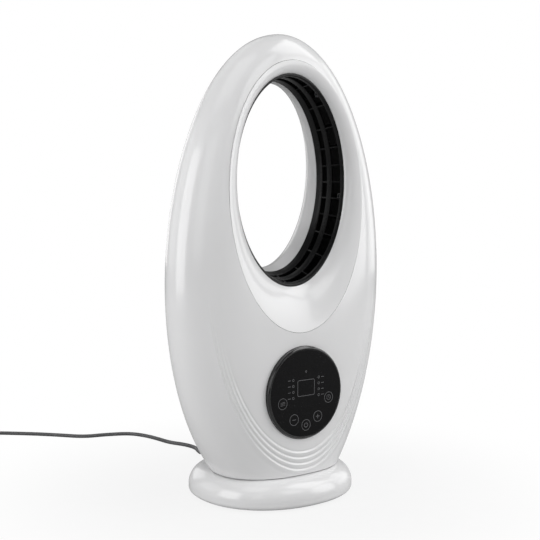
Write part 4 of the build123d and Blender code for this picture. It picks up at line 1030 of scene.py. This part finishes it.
class FAN_OT_outlet(bpy.types.Operator):
    """Black outlet: three rounded bands with ribs between them"""

    bl_idname = "fan.outlet"
    bl_label = "Air outlet"

    def execute(self, context):
        angle = round_angles(288)
        parts = []
        lip = LIP_X * np.cos(angle[0]) ** 2 + LIP_Z * np.sin(angle[0]) ** 2
        for (front, back), inward in zip(GRILLE_BANDS, (lip, 0, 0)):
            outline = rounded([(0, front), (0, back), (GRILLE_WALL, back), (GRILLE_WALL, front)], 0.0007, 4)
            parts.append(ring_of(np.stack([
                air_way_points(angle[0], y, grow - inward * (1 - grow / GRILLE_WALL))
                 for grow, y in outline])))
        parts += [self.rib(2 * math.pi * i / RIB_COUNT) for i in range(RIB_COUNT)]
        points, faces = stack(parts)
        place("outlet_ring", closed_mesh("outlet", points, faces), "tower",
              FINISHES["black_satin"], ["outlet_grille"])
        return {"FINISHED"}

    def rib(self, polar):
        """One radial rib: a rounded strip outline (depth, growth) at both sides of a polar angle."""
        front, back = GRILLE_BANDS[0][1] - 0.001, GRILLE_BANDS[2][0] + 0.001
        outline = rounded([(front, 0.0004), (back, 0.0004), (back, RIB_DEPTH), (front, RIB_DEPTH)], 0.0006, 3)
        direction = np.array([math.cos(polar), math.sin(polar)])
        side = np.array([-direction[1], direction[0]]) * 0.0009
        t = (outline[:, 0] - OUTLET_Y) / (THROAT_Y - OUTLET_Y)
        half_x = OUTLET_HALF_X + t * (THROAT_HALF_X - OUTLET_HALF_X) + outline[:, 1]
        half_z = OUTLET_HALF_Z + t * (THROAT_HALF_Z - OUTLET_HALF_Z) + outline[:, 1]
        shift = t * (THROAT_MID_Z - OUTLET_MID_Z)
        a = (direction[0] / half_x) ** 2 + (direction[1] / half_z) ** 2
        b = -2 * direction[1] * shift / half_z ** 2
        reach = (-b + np.sqrt(b * b - 4 * a * ((shift / half_z) ** 2 - 1))) / (2 * a)
        rows = []
        for offset in (-1, 1):
            rows.append(np.stack([direction[0] * reach + side[0] * offset, outline[:, 0],
                                  OUTLET_MID_Z + direction[1] * reach + side[1] * offset], -1))
        count = len(outline)
        i = np.arange(count)
        sides = np.stack([i, (i + 1) % count, (i + 1) % count + count, i + count], 1).tolist()
        return np.concatenate(rows), sides + [list(range(count))[::-1], list(range(count, 2 * count))]


class FAN_OT_rear_duct(bpy.types.Operator):
    """White wall behind the outlet that flares out to the tower's back"""

    bl_idname = "fan.rear_duct"
    bl_label = "Rear duct"

    def execute(self, context):
        inner, outer = (self.wall(grow, context.scene.fan_sizes) for grow in (0.0, WALL))
        piece = place("rear_flare", closed_mesh("flare", *ring_of(np.concatenate([inner, outer[::-1]]))),
                      "tower",
                      FINISHES["white_gloss"], ["rear_duct"])
        # painted shade: the flare's outer side, inside the tower, is made dark
        paint_shade_inside(piece.data, lambda p, normal: (normal[:, 1] < REAR_FACING) & (
            normal[:, 0] * p[:, 0] + normal[:, 2] * (p[:, 2] - THROAT_MID_Z) > FLARE_OUTWARD))
        return {"FINISHED"}

    def wall(self, grow, sizes):
        """Duct's surface made larger by grow, from the outlet's back edge to just inside the tower's skin."""
        angle = round_angles(288)[0]
        low, high = np.full(angle.shape, 0.3), np.full(angle.shape, FLARE_TURN + 0.7)
        for _ in range(36):
            middle = (low + high) / 2
            inside = skin(flare_point(angle, middle, grow), sizes) < -0.0002
            low, high = np.where(inside, middle, low), np.where(inside, high, middle)
        curved = flare_point(angle[None], np.linspace(0, 1, 40)[:, None] * low, grow)
        start = air_way_points(angle[None], GRILLE_BACK_Y + 0.0001, grow)
        return np.concatenate([start + (curved[:1] - start) *
                               np.linspace(0, 1, 10, endpoint=False)[:, None, None],
                               curved])


def back_surface(x, z, sizes):
    """Depth of the tower's rear surface at places given across and up, found by halving."""
    near, far = np.zeros(x.shape), np.full(x.shape, 0.1)
    for _ in range(36):
        y = (near + far) / 2
        inside = skin(np.stack([x, y, z], -1), sizes) < 0
        near, far = np.where(inside, y, near), np.where(inside, far, y)
    return near


class FAN_OT_screw_cups(bpy.types.Operator):
    """Tubes in which the shell screws sit, ending in the rear shell's wall"""

    bl_idname = "fan.screw_cups"
    bl_label = "Screw recesses"

    def execute(self, context):
        angle = np.linspace(0, 2 * math.pi, 36, endpoint=False)
        parts = []
        for x, z in screw_places():
            bore, outer = ((x + r * np.cos(angle), z + r * np.sin(angle)) for r in (SCREW_HOLE, CUP_RADIUS))
            seat = np.full(angle.shape, parting_depth(z) + CUP_SEAT)
            rows = []
            for (across, upward), ends in ((bore, ("seat", "skin")), (outer, ("skin", "seat"))):
                top = back_surface(across, upward, context.scene.fan_sizes) - 0.0006
                rows += [np.stack([across, seat if end == "seat" else top, upward], -1) for end in ends]
            parts.append(ring_of(np.stack(rows)))
        piece = place("screw_cups", closed_mesh("cups", *stack(parts)), "tower",
                      FINISHES["white_gloss"])
        at = np.array(screw_places())
        # painted shade: the cups' walls away from the screws, inside the tower, are made dark
        paint_shade_inside(piece.data, lambda p, normal: np.min(np.hypot(
            p[:, :1] - at[:, 0], p[:, 2:] - at[:, 1]), axis=1) > CUP_REACH)
        return {"FINISHED"}


# ================================================================ control panel
class FAN_OT_bezel(bpy.types.Operator):
    """Black cup in the round hole, with a bevelled rim"""

    bl_idname = "fan.bezel"
    bl_label = "Panel bezel"

    def execute(self, context):
        front, back, rim = PANEL_Y, PANEL_BACK_Y, PANEL_RADIUS
        corners = [(0, back), (rim, back), (rim, front + 0.0016), (rim - 0.0016, front),
                   (LENS_RADIUS + 0.0002, front), (LENS_RADIUS + 0.0002, front + 0.0022),
                   (LENS_RADIUS - 0.0018, front + 0.0022), (LENS_RADIUS - 0.0018, back - 0.002),
                   (0, back - 0.002)]
        profile = solid_profile(corners, [0.0006, 0.0005, 0.0005, 0.0003, 0.0001, 0.0003, 0.0005], 5)
        points, faces = lathe(profile, 192, np.array([0, 0, PANEL_Z]), "Y")
        place("panel_rim", closed_mesh("rim", points, faces), "tower", FINISHES["black_gloss"],
              ["panel_bezel"])
        return {"FINISHED"}


class FAN_OT_lens(bpy.types.Operator):
    """Smoked lens of the panel with a rounded edge"""

    bl_idname = "fan.lens"
    bl_label = "Panel lens"

    def execute(self, context):
        low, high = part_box("control_lens")
        edge = LENS_RADIUS - 0.0006
        arc = np.linspace(0, math.pi / 2, 6)
        rounding = np.stack([edge + 0.0006 * np.sin(arc), low.y + 0.0006 * (1 - np.cos(arc))], 1)
        profile = np.concatenate([[(0, low.y), (edge - 0.004, low.y), (edge - 0.0008, low.y)], rounding,
                                  [(LENS_RADIUS, high.y), (0, high.y)]])
        points, faces = lathe(profile, 192, np.array([0, 0, PANEL_Z]), "Y")
        place("panel_lens", closed_mesh("lens", points, faces), "tower", FINISHES["lens_gloss"],
              ["control_lens"])
        return {"FINISHED"}


def strip(path, width, closed):
    """Flat raised line on the lens: a path in the lens plane widened to both sides, a little proud of it."""
    path = np.asarray(path, float)
    if closed:
        along = np.roll(path, -1, 0) - np.roll(path, 1, 0)
    else:
        along = np.gradient(path, axis=0)
    along /= np.linalg.norm(along, axis=1, keepdims=True)
    side = np.stack([-along[:, 1], along[:, 0]], 1) * width / 2
    rows = []
    for offset, depth in ((1, 0.00002), (1, -MARK_HEIGHT), (-1, -MARK_HEIGHT), (-1, 0.00002)):
        flat = path + side * offset
        rows.append(np.stack([flat[:, 0], np.full(len(flat), LENS_Y + depth), PANEL_Z + flat[:, 1]], 1))
    points = np.stack(rows, 1)
    count = len(path)
    faces = grid_faces(count, 4, closed, True).tolist()
    if not closed:
        faces += [[3, 2, 1, 0], [4 * count - 4, 4 * count - 3, 4 * count - 2, 4 * count - 1]]
    return points.reshape(-1, 3), faces


def arc_path(centre, radius, start, end, count=24):
    """Points along an arc in the lens plane, angles in degrees from the right."""
    angle = np.radians(np.linspace(start, end, count))
    return np.stack([centre[0] + radius * np.cos(angle), centre[1] + radius * np.sin(angle)], 1)


def ring_mark(centre, radius, width):
    """Ring on the lens."""
    return strip(arc_path(centre, radius, 0, 360 - 360 / 40, 40), width, True)


def line_mark(start, end, width):
    """Straight line on the lens."""
    return strip(np.linspace(start, end, 4), width, False)


class FAN_OT_marks(bpy.types.Operator):
    """Display frame, key rings with their icons and indicator rings on the lens"""

    bl_idname = "fan.marks"
    bl_label = "Panel marks"

    def execute(self, context):
        corners = (np.array([(-1, -1), (1, -1), (1, 1), (-1, 1)]) * (DISPLAY_HALF_X, DISPLAY_HALF_Z)
                   + (0, LIGHT_RISE))
        parts = [strip(rounded(corners, 0.0022, 6), BOLD_LINE, True)]
        icons = (self.flow_icon, self.minus_icon, self.power_icon, self.plus_icon, self.clock_icon)
        for key, icon in zip(KEY_PLACES, icons):
            parts.append(ring_mark(key, KEY_RADIUS, THIN_LINE))
            parts += icon(*key)
        for side in (-1, 1):
            for row in LIGHT_ROWS:
                middle = (side * LIGHT_COLUMN, LIGHT_RISE + row * LIGHT_PITCH)
                parts.append(ring_mark(middle, 0.0014, THIN_LINE))
                tick = middle[0] + side * 0.0042
                parts.append(line_mark((tick, middle[1]), (tick + side * 0.0045, middle[1]), BOLD_LINE))
        parts.append(ring_mark((0, LIGHT_RISE * 4), 0.0011, THIN_LINE))
        place("panel_marks", closed_mesh("marks", *stack(parts)), "tower", FINISHES[MARKS_SLOT])
        return {"FINISHED"}

    def flow_icon(self, x, z):
        """Three waves for the air flow."""
        t = np.linspace(-1, 1, 20)
        return [strip(np.stack([x + 0.0036 * t, z + rise + 0.0006 * np.sin(t * math.pi)], 1), THIN_LINE,
                      False)
                for rise in (-0.0018, 0, 0.0018)]

    def minus_icon(self, x, z):
        """Minus."""
        return [line_mark((x - 0.003, z), (x + 0.003, z), BOLD_LINE)]

    def plus_icon(self, x, z):
        """Plus."""
        return [line_mark((x - 0.003, z), (x + 0.003, z), BOLD_LINE),
                line_mark((x, z + 0.0006), (x, z + 0.003), BOLD_LINE),
                line_mark((x, z - 0.0006), (x, z - 0.003), BOLD_LINE)]

    def power_icon(self, x, z):
        """Open circle with an upright line."""
        return [strip(arc_path((x, z), 0.0029, 125, 415), BOLD_LINE, False),
                line_mark((x, z + 0.0008), (x, z + 0.0038), BOLD_LINE)]

    def clock_icon(self, x, z):
        """Clock with two hands."""
        return [ring_mark((x, z), 0.0032, THIN_LINE), line_mark((x, z), (x, z + 0.0022), THIN_LINE),
                line_mark((x + 0.0003, z - 0.0001), (x + 0.0018, z - 0.0008), THIN_LINE)]


# ================================================================ base
def base_outline(angle):
    """Plan outline of the base and its outward normals: the superellipse |x/a|^n + |y/b|^n = 1 by angle."""
    c, s = np.cos(angle), np.sin(angle)
    x = BASE_HALF_X * np.sign(c) * np.abs(c) ** (2 / BASE_POWER)
    y = BASE_HALF_Y * np.sign(s) * np.abs(s) ** (2 / BASE_POWER)
    normal = np.stack([np.sign(x) * np.abs(x / BASE_HALF_X) ** (BASE_POWER - 1) / BASE_HALF_X,
                       np.sign(y) * np.abs(y / BASE_HALF_Y) ** (BASE_POWER - 1) / BASE_HALF_Y], -1)
    return np.stack([x, y], -1), normal / np.linalg.norm(normal, axis=-1, keepdims=True)


def quarter(start_inset, start_z, inset_by, rise, steps, over):
    """Points (inset, height) on a quarter ellipse; over bulges it upwards first, otherwise inwards first."""
    t = np.linspace(0, math.pi / 2, steps)
    if over:
        return np.stack([start_inset + inset_by * (1 - np.cos(t)), start_z + rise * np.sin(t)], 1)
    return np.stack([start_inset + inset_by * np.sin(t), start_z + rise * (1 - np.cos(t))], 1)


class FAN_OT_base(bpy.types.Operator):
    """Low white base with a broad rounded edge and the swivel's hole in its deck"""

    bl_idname = "fan.base"
    bl_label = "Base cover"

    def execute(self, context):
        angle = np.linspace(0, 2 * math.pi, 288, endpoint=False)
        outline, normal = base_outline(angle)
        foot, top, wall = FOOT_ROUND, BASE_ROUND, BASE_WALL
        side_z = DECK_Z - top
        outer = np.concatenate([
            quarter(foot, BASE_UNDER_Z, -foot, foot, 10, False),
            np.array([(0, z) for z in np.linspace(BASE_UNDER_Z + foot, side_z, 5)[1:-1]]),
            quarter(0, side_z, top, top, 26, True)])
        inner = np.concatenate([
            quarter(wall, side_z, top - wall, top - wall, 14, True)[::-1], [(wall, BASE_UNDER_Z + foot)],
            [(wall + 0.0005, BASE_UNDER_Z)]])
        rows = []
        for inset, z in outer:
            rows.append(np.column_stack([outline - normal * inset, np.full(len(angle), z)]))
        hole = DECK_HOLE * np.stack([np.cos(angle), np.sin(angle)], 1)
        for level, order in ((DECK_Z, (0.02, 0.1, 0.3, 0.6, 1.0)), (DECK_Z - wall, (1.0, 0.6, 0.3, 0.1))):
            rim = outline - normal * top
            for share in order:
                rows.append(np.column_stack([rim + (hole - rim) * share, np.full(len(angle), level)]))
        for inset, z in inner:
            rows.append(np.column_stack([outline - normal * inset, np.full(len(angle), z)]))
        mesh = closed_mesh("base", *ring_of(np.stack(rows)))
        notch = lathe(np.array([(0, 0.090), (0.0066, 0.090), (0.0066, 0.110), (0, 0.110)]), 40,
                      np.array([0, 0, CORD_EXIT[2]]), "Y")
        mesh = cut(mesh, [notch])
        place("base_cover", mesh, "base", FINISHES["white_base"], ["base_shell"])
        return {"FINISHED"}


class FAN_OT_feet(bpy.types.Operator):
    """Six grey rubber pads"""

    bl_idname = "fan.feet"
    bl_label = "Feet"

    def execute(self, context):
        corners = [(0, 0), (0.0084, 0), (0.009, 0.0009), (0.009, 0.0025), (0, 0.0025)]
        profile = solid_profile(corners, [0.0003, 0.0004, 0.0001], 4)
        parts = [lathe(profile, 40, np.array([0.084 * math.cos(a), 0.077 * math.sin(a), 0]), "Z")
                 for a in (math.radians(30 + 60 * i) for i in range(6))]
        place("feet", closed_mesh("feet", *stack(parts)), "base", FINISHES["rubber_grey"],
              ["rubber_feet"])
        return {"FINISHED"}


# ================================================================ cord
COIL_WAY = np.array([-math.sin(COIL_START), math.cos(COIL_START), 0])
COIL_SIDE = np.array([math.cos(COIL_START), math.sin(COIL_START), 0])


def coil_points():
    """Control points of the coil: half turns whose radius shrinks in the lower layer, a climb at the
    innermost half turn, the same half turns back out on top, and the straight tail."""
    radii = [COIL_OUTER - COIL_STEP * i for i in range(COIL_HALF_TURNS + 1)]
    radii[-1] -= COIL_INSET
    radii += radii[::-1]
    per_half = 8
    swell = 2 / (1 + math.cos(math.pi / per_half))
    points = []
    for step in range((len(radii) - 1) * per_half + 1):
        turn = step / per_half
        radius = np.interp(turn, np.arange(len(radii)), radii) * swell
        climb = COIL_LAYER * float(smoothstep(turn - COIL_HALF_TURNS))
        points.append(np.array(COIL) + COIL_SIDE * radius * math.cos(turn * math.pi)
                      + COIL_WAY * radius * math.sin(turn * math.pi) + (0, 0, climb))
    tail = points[-1] - COIL_WAY * COIL_TAIL
    return points + [(points[-1] + tail) / 2, tail]


class FAN_OT_cord(bpy.types.Operator):
    """Mains cord with its strain relief, plug, pins and coil tie"""

    bl_idname = "fan.cord"
    bl_label = "Mains cord"

    def execute(self, context):
        curve = bpy.data.curves.new("cord", "CURVE")
        curve.dimensions = "3D"
        route = ([np.array(p) for p in CORD_ROUTE]
                 + [np.array(COIL) + COIL_SIDE * COIL_OUTER - COIL_WAY * CORD])
        points = np.array(route + coil_points())
        spline = curve.splines.new("NURBS")
        spline.points.add(len(points) - 1)
        spline.points.foreach_set("co", np.column_stack([points, np.ones(len(points))]).ravel())
        spline.order_u = 3
        spline.use_endpoint_u = True
        spline.resolution_u = 8
        curve.bevel_depth = CORD / 2
        curve.bevel_resolution = 4
        curve.use_fill_caps = True
        cord = bpy.data.objects.new("mains_cord", curve)
        bpy.context.scene.collection.objects.link(cord)
        curve.materials.append(FINISHES["cord_grey"])
        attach(cord, "base")
        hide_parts("power_cord", "cord_coil")
        pieces = [self.relief(), self.plug(points[-1]), self.pins(points[-1]), self.tie()]
        return {"FINISHED"}

    def relief(self):
        """Sleeve that tapers along the cord, with five grooves, and its neck in the base's wall."""
        neck, end, first = 0.0977, CORD_EXIT[1], 0.0062
        slope = (0.0042 - first) / (end - neck)
        corners = [(0, neck - 0.002), (0.008, neck - 0.002), (0.008, neck), (0.0063, neck), (0.0063, 0.1075),
                   (first + slope * 0.0098, 0.1079)]
        for i in range(5):
            a, b = 0.112 + 0.0045 * i, 0.1136 + 0.0045 * i
            corners += [(first + slope * (a - neck), a), (0.0039, a), (0.0039, b),
                        (first + slope * (b - neck), b)]
        corners += [(0.0042, end), (0, end)]
        radii = [0.0004] * (len(corners) - 2)
        radii[-1] = 0.0008
        mesh = closed_mesh("relief", *lathe(solid_profile(corners, radii, 4), 48,
                                            np.array([0, 0, CORD_EXIT[2]]), "Y"))
        return place("cord_relief", mesh, "base", FINISHES["cord_grey"], ["strain_relief"])

    def in_plug_frame(self, points, start):
        """Moves points from the plug's own frame (z along the pins) to the plug's place."""
        across = np.array([-COIL_WAY[1], COIL_WAY[0], 0])
        upward = np.cross(-COIL_WAY, across)
        return start + points[:, :1] * across + points[:, 1:2] * upward - points[:, 2:] * COIL_WAY

    def plug(self, start):
        """Moulded plug: superellipses that grow from the cord to the face, a finger groove on each side."""
        along = np.concatenate([np.linspace(0, 0.0388, 34),
                                0.0388 + 0.0012 * np.sin(np.linspace(0, math.pi / 2, 6))[1:]])
        edge = 0.0012 * (1 - np.cos(np.linspace(0, math.pi / 2, 6)))[1:]
        cap = np.concatenate([np.zeros(34), edge])
        half_x = 0.0045 + 0.0085 * smoothstep(along / 0.032) - cap
        half_y = 0.0045 + 0.0045 * smoothstep(along / 0.028) - cap
        for middle in (0.024, 0.029, 0.034):
            half_x = half_x - 0.0005 * np.exp(-((along - middle) / 0.0011) ** 2)
        angle = np.linspace(0, 2 * math.pi, 64, endpoint=False)
        c, s = np.cos(angle), np.sin(angle)
        shape_x, shape_y = np.sign(c) * np.abs(c) ** (2 / 2.65), np.sign(s) * np.abs(s) ** (2 / 2.65)
        half_x, half_y, along = (np.concatenate([[a], v, [b]]) for a, v, b in (
            (0, half_x, 0), (0, half_y, 0), (along[0], along, along[-1])))
        points = np.stack([half_x[:, None] * shape_x, half_y[:, None] * shape_y,
                           np.broadcast_to(along[:, None], (len(along), 64))], -1).reshape(-1, 3)
        mesh = closed_mesh("plug", self.in_plug_frame(points, start), grid_faces(len(along), 64, False, True))
        return place("plug_moulding", mesh, "base", FINISHES["cord_grey"], ["plug_body"])

    def pins(self, start):
        """Two round pins with rounded tips."""
        corners = [(0, 0.039), (0.002, 0.039), (0.002, 0.059), (0, 0.059)]
        parts = []
        for side in (-1, 1):
            points, faces = lathe(solid_profile(corners, [0, 0.0013], 6), 32, np.array([side * 0.0093, 0, 0]),
                                  "Z")
            parts.append((self.in_plug_frame(points, start), faces))
        return place("plug_prongs", closed_mesh("pins", *stack(parts)), "base",
                     FINISHES["pin_metal"],
                     ["plug_pins"])

    def tie(self):
        """Soft band round the coil: a rounded outline in the plane through the coil's axis, widened."""
        inner_r = COIL_OUTER - COIL_STEP * COIL_HALF_TURNS - COIL_INSET - CORD / 2 - 0.0004
        outer_r = COIL_OUTER + CORD / 2 + 0.0004
        low, high = COIL[2] - CORD / 2 - 0.0003, COIL[2] + COIL_LAYER + CORD / 2 + 0.0004
        hole = rounded([(inner_r, low), (outer_r, low), (outer_r, high), (inner_r, high)], 0.0022, 8)
        along = np.roll(hole, -1, 0) - np.roll(hole, 1, 0)
        out = np.stack([along[:, 1], -along[:, 0]], 1) / np.linalg.norm(along, axis=1, keepdims=True)
        section = rounded([(-0.0045, 0), (0.0045, 0), (0.0045, 0.0008), (-0.0045, 0.0008)], 0.0003, 4)
        rows = []
        for width, thick in section:
            flat = hole + out * thick
            rows.append(np.array(COIL) * (1, 1, 0) + flat[:, :1] * COIL_WAY + width * COIL_SIDE
                        + flat[:, 1:] * (0, 0, 1))
        return place("coil_band", closed_mesh("band", *ring_of(np.stack(rows))), "base",
                     FINISHES["rubber_black"], ["cord_tie"])


# ================================================================ inner parts, stage and panel
class FAN_OT_inner_finishes(bpy.types.Operator):
    """Finishes of the CAD parts that stay: screws, drive, blower, boards"""

    bl_idname = "fan.inner_finishes"
    bl_label = "Inner parts"

    def execute(self, context):
        for part in frame["record"]["subparts"]:
            node = frame["nodes"][part["node"]]
            node.data.materials.clear()
            node.data.materials.append(FINISHES[part["material_slot"]])
        return {"FINISHED"}


class FAN_OT_camera(bpy.types.Operator):
    """Camera at the photograph's viewing angle"""

    bl_idname = "fan.camera"
    bl_label = "Camera"

    def execute(self, context):
        data = bpy.data.cameras.new("camera")
        data.sensor_width, data.sensor_fit = SENSOR, "AUTO"
        data.lens = FOCAL_PIXELS / PICTURE_PIXELS * SENSOR
        camera = bpy.data.objects.new("camera", data)
        context.scene.collection.objects.link(camera)
        away = Vector((-math.sin(CAMERA_AZIMUTH) * math.cos(CAMERA_ELEVATION),
                       -math.cos(CAMERA_AZIMUTH) * math.cos(CAMERA_ELEVATION), math.sin(CAMERA_ELEVATION)))
        camera.location = Vector(CAMERA_TARGET) + away * CAMERA_DISTANCE
        camera.rotation_euler = (-away).to_track_quat("-Z", "Y").to_euler()
        context.scene.camera = camera
        return {"FINISHED"}


def soft_light(name, azimuth, elevation, distance, size, power, target=(0, 0, 0.3)):
    """Area light that faces the fan from an azimuth (0 in front, right positive) and an elevation."""
    data = bpy.data.lights.new(name, "AREA")
    data.shape, data.size, data.size_y, data.energy = "RECTANGLE", size[0], size[1], power
    lamp = bpy.data.objects.new(name, data)
    bpy.context.scene.collection.objects.link(lamp)
    az, el = math.radians(azimuth), math.radians(elevation)
    away = Vector((math.sin(az) * math.cos(el), -math.cos(az) * math.cos(el), math.sin(el)))
    lamp.location = Vector(target) + away * distance
    lamp.rotation_euler = (-away).to_track_quat("-Z", "Y").to_euler()
    return lamp


class FAN_OT_stage(bpy.types.Operator):
    """Pale floor, white surroundings and soft studio light"""

    bl_idname = "fan.stage"
    bl_label = "Floor and lights"

    def execute(self, context):
        scene = context.scene
        scene.view_settings.view_transform = "Standard"
        mesh = bpy.data.meshes.new("floor")
        mesh.from_pydata([(-6, -6, 0), (6, -6, 0), (6, 6, 0), (-6, 6, 0)], [], [(0, 1, 2, 3)])
        floor = bpy.data.objects.new("floor", mesh)
        scene.collection.objects.link(floor)
        floor.data.materials.append(self.floor_finish())
        self.surroundings(scene)
        for name, azimuth, elevation, distance, size, power in LIGHTS:
            soft_light(name, azimuth, elevation, distance, size, power)
        return {"FINISHED"}

    def floor_finish(self):
        """Pale floor: partly white of its own to the camera, wholly so far from the fan, so that it keeps the
        shadow and fades into the background."""
        sheet = Finish("pale floor")
        speckle = sheet.noise(40, 2).ramp(0.3, 0.7)
        sheet.done(sheet.mix(speckle, (0.50, 0.50, 0.50), (0.53, 0.53, 0.53)), 0.8,
                   **{"Specular IOR Level": 0.0})
        x, y, _ = sheet.axes(sheet.place_on())
        far = ((x * x + y * y) ** 0.5).ramp(0.12, 0.50)
        seen = sheet.node("ShaderNodeLightPath", {}, {}, "Is Camera Ray")
        glow = sheet.node("ShaderNodeEmission", {}, {"Color": (1, 1, 1)})
        share = seen * (far * (FLOOR_GLOW[1] - FLOOR_GLOW[0]) + FLOOR_GLOW[0])
        mixed = sheet.node("ShaderNodeMixShader", {},
                           {"Fac": share, 1: Value(sheet, sheet.shader.outputs[0]), 2: glow})
        sheet.put(sheet.tree.nodes["Material Output"].inputs["Surface"], mixed)
        return sheet.material

    def surroundings(self, scene):
        """World that is white where the camera looks past the fan, and a plain soft grey for light."""
        world = bpy.data.worlds.new("studio")
        scene.world = world
        world.use_nodes = True
        tree = world.node_tree
        background = tree.nodes["Background"]
        background.inputs["Color"].default_value = (1, 1, 1, 1)
        path = tree.nodes.new("ShaderNodeLightPath")
        seen = tree.nodes.new("ShaderNodeMath")
        seen.operation = "MAXIMUM"
        tree.links.new(path.outputs["Is Camera Ray"], seen.inputs[0])
        tree.links.new(path.outputs["Is Transmission Ray"], seen.inputs[1])
        strength = tree.nodes.new("ShaderNodeMapRange")
        strength.inputs["To Min"].default_value = WORLD_LIGHT
        tree.links.new(seen.outputs[0], strength.inputs["Value"])
        tree.links.new(strength.outputs[0], background.inputs["Strength"])


STEPS = (
    FAN_OT_camera, FAN_OT_cord, FAN_OT_front_shell, FAN_OT_rear_shell, FAN_OT_screw_cups,
    FAN_OT_intake_grille,
    FAN_OT_scoop, FAN_OT_outlet, FAN_OT_rear_duct, FAN_OT_bezel, FAN_OT_lens, FAN_OT_marks, FAN_OT_base,
    FAN_OT_feet, FAN_OT_inner_finishes, FAN_OT_stage,
)


class FAN_PT_panel(bpy.types.Panel):
    """Settings and steps of the fan in the 3D view's sidebar"""

    bl_label = "Bladeless Fan"
    bl_idname = "FAN_PT_panel"
    bl_space_type = "VIEW_3D"
    bl_region_type = "UI"
    bl_category = "Fan"

    def draw(self, context):
        for settings in (context.scene.fan_colours, context.scene.fan_sizes):
            for key in settings.__annotations__:
                self.layout.prop(settings, key)
        for step in STEPS:
            self.layout.operator(step.bl_idname)


CLASSES = (FanColours, FanSizes, *STEPS, FAN_PT_panel)


def register():
    for cls in CLASSES:
        bpy.utils.register_class(cls)
    bpy.types.Scene.fan_colours = PointerProperty(type=FanColours)
    bpy.types.Scene.fan_sizes = PointerProperty(type=FanSizes)


def unregister():
    del bpy.types.Scene.fan_sizes
    del bpy.types.Scene.fan_colours
    for cls in reversed(CLASSES):
        bpy.utils.unregister_class(cls)


def main():
    register()
    make_finishes()
    for step in STEPS:
        group, name = step.bl_idname.split(".")
        getattr(getattr(bpy.ops, group), name)()
    bpy.context.view_layer.update()


if __name__ == "__main__":
    main()
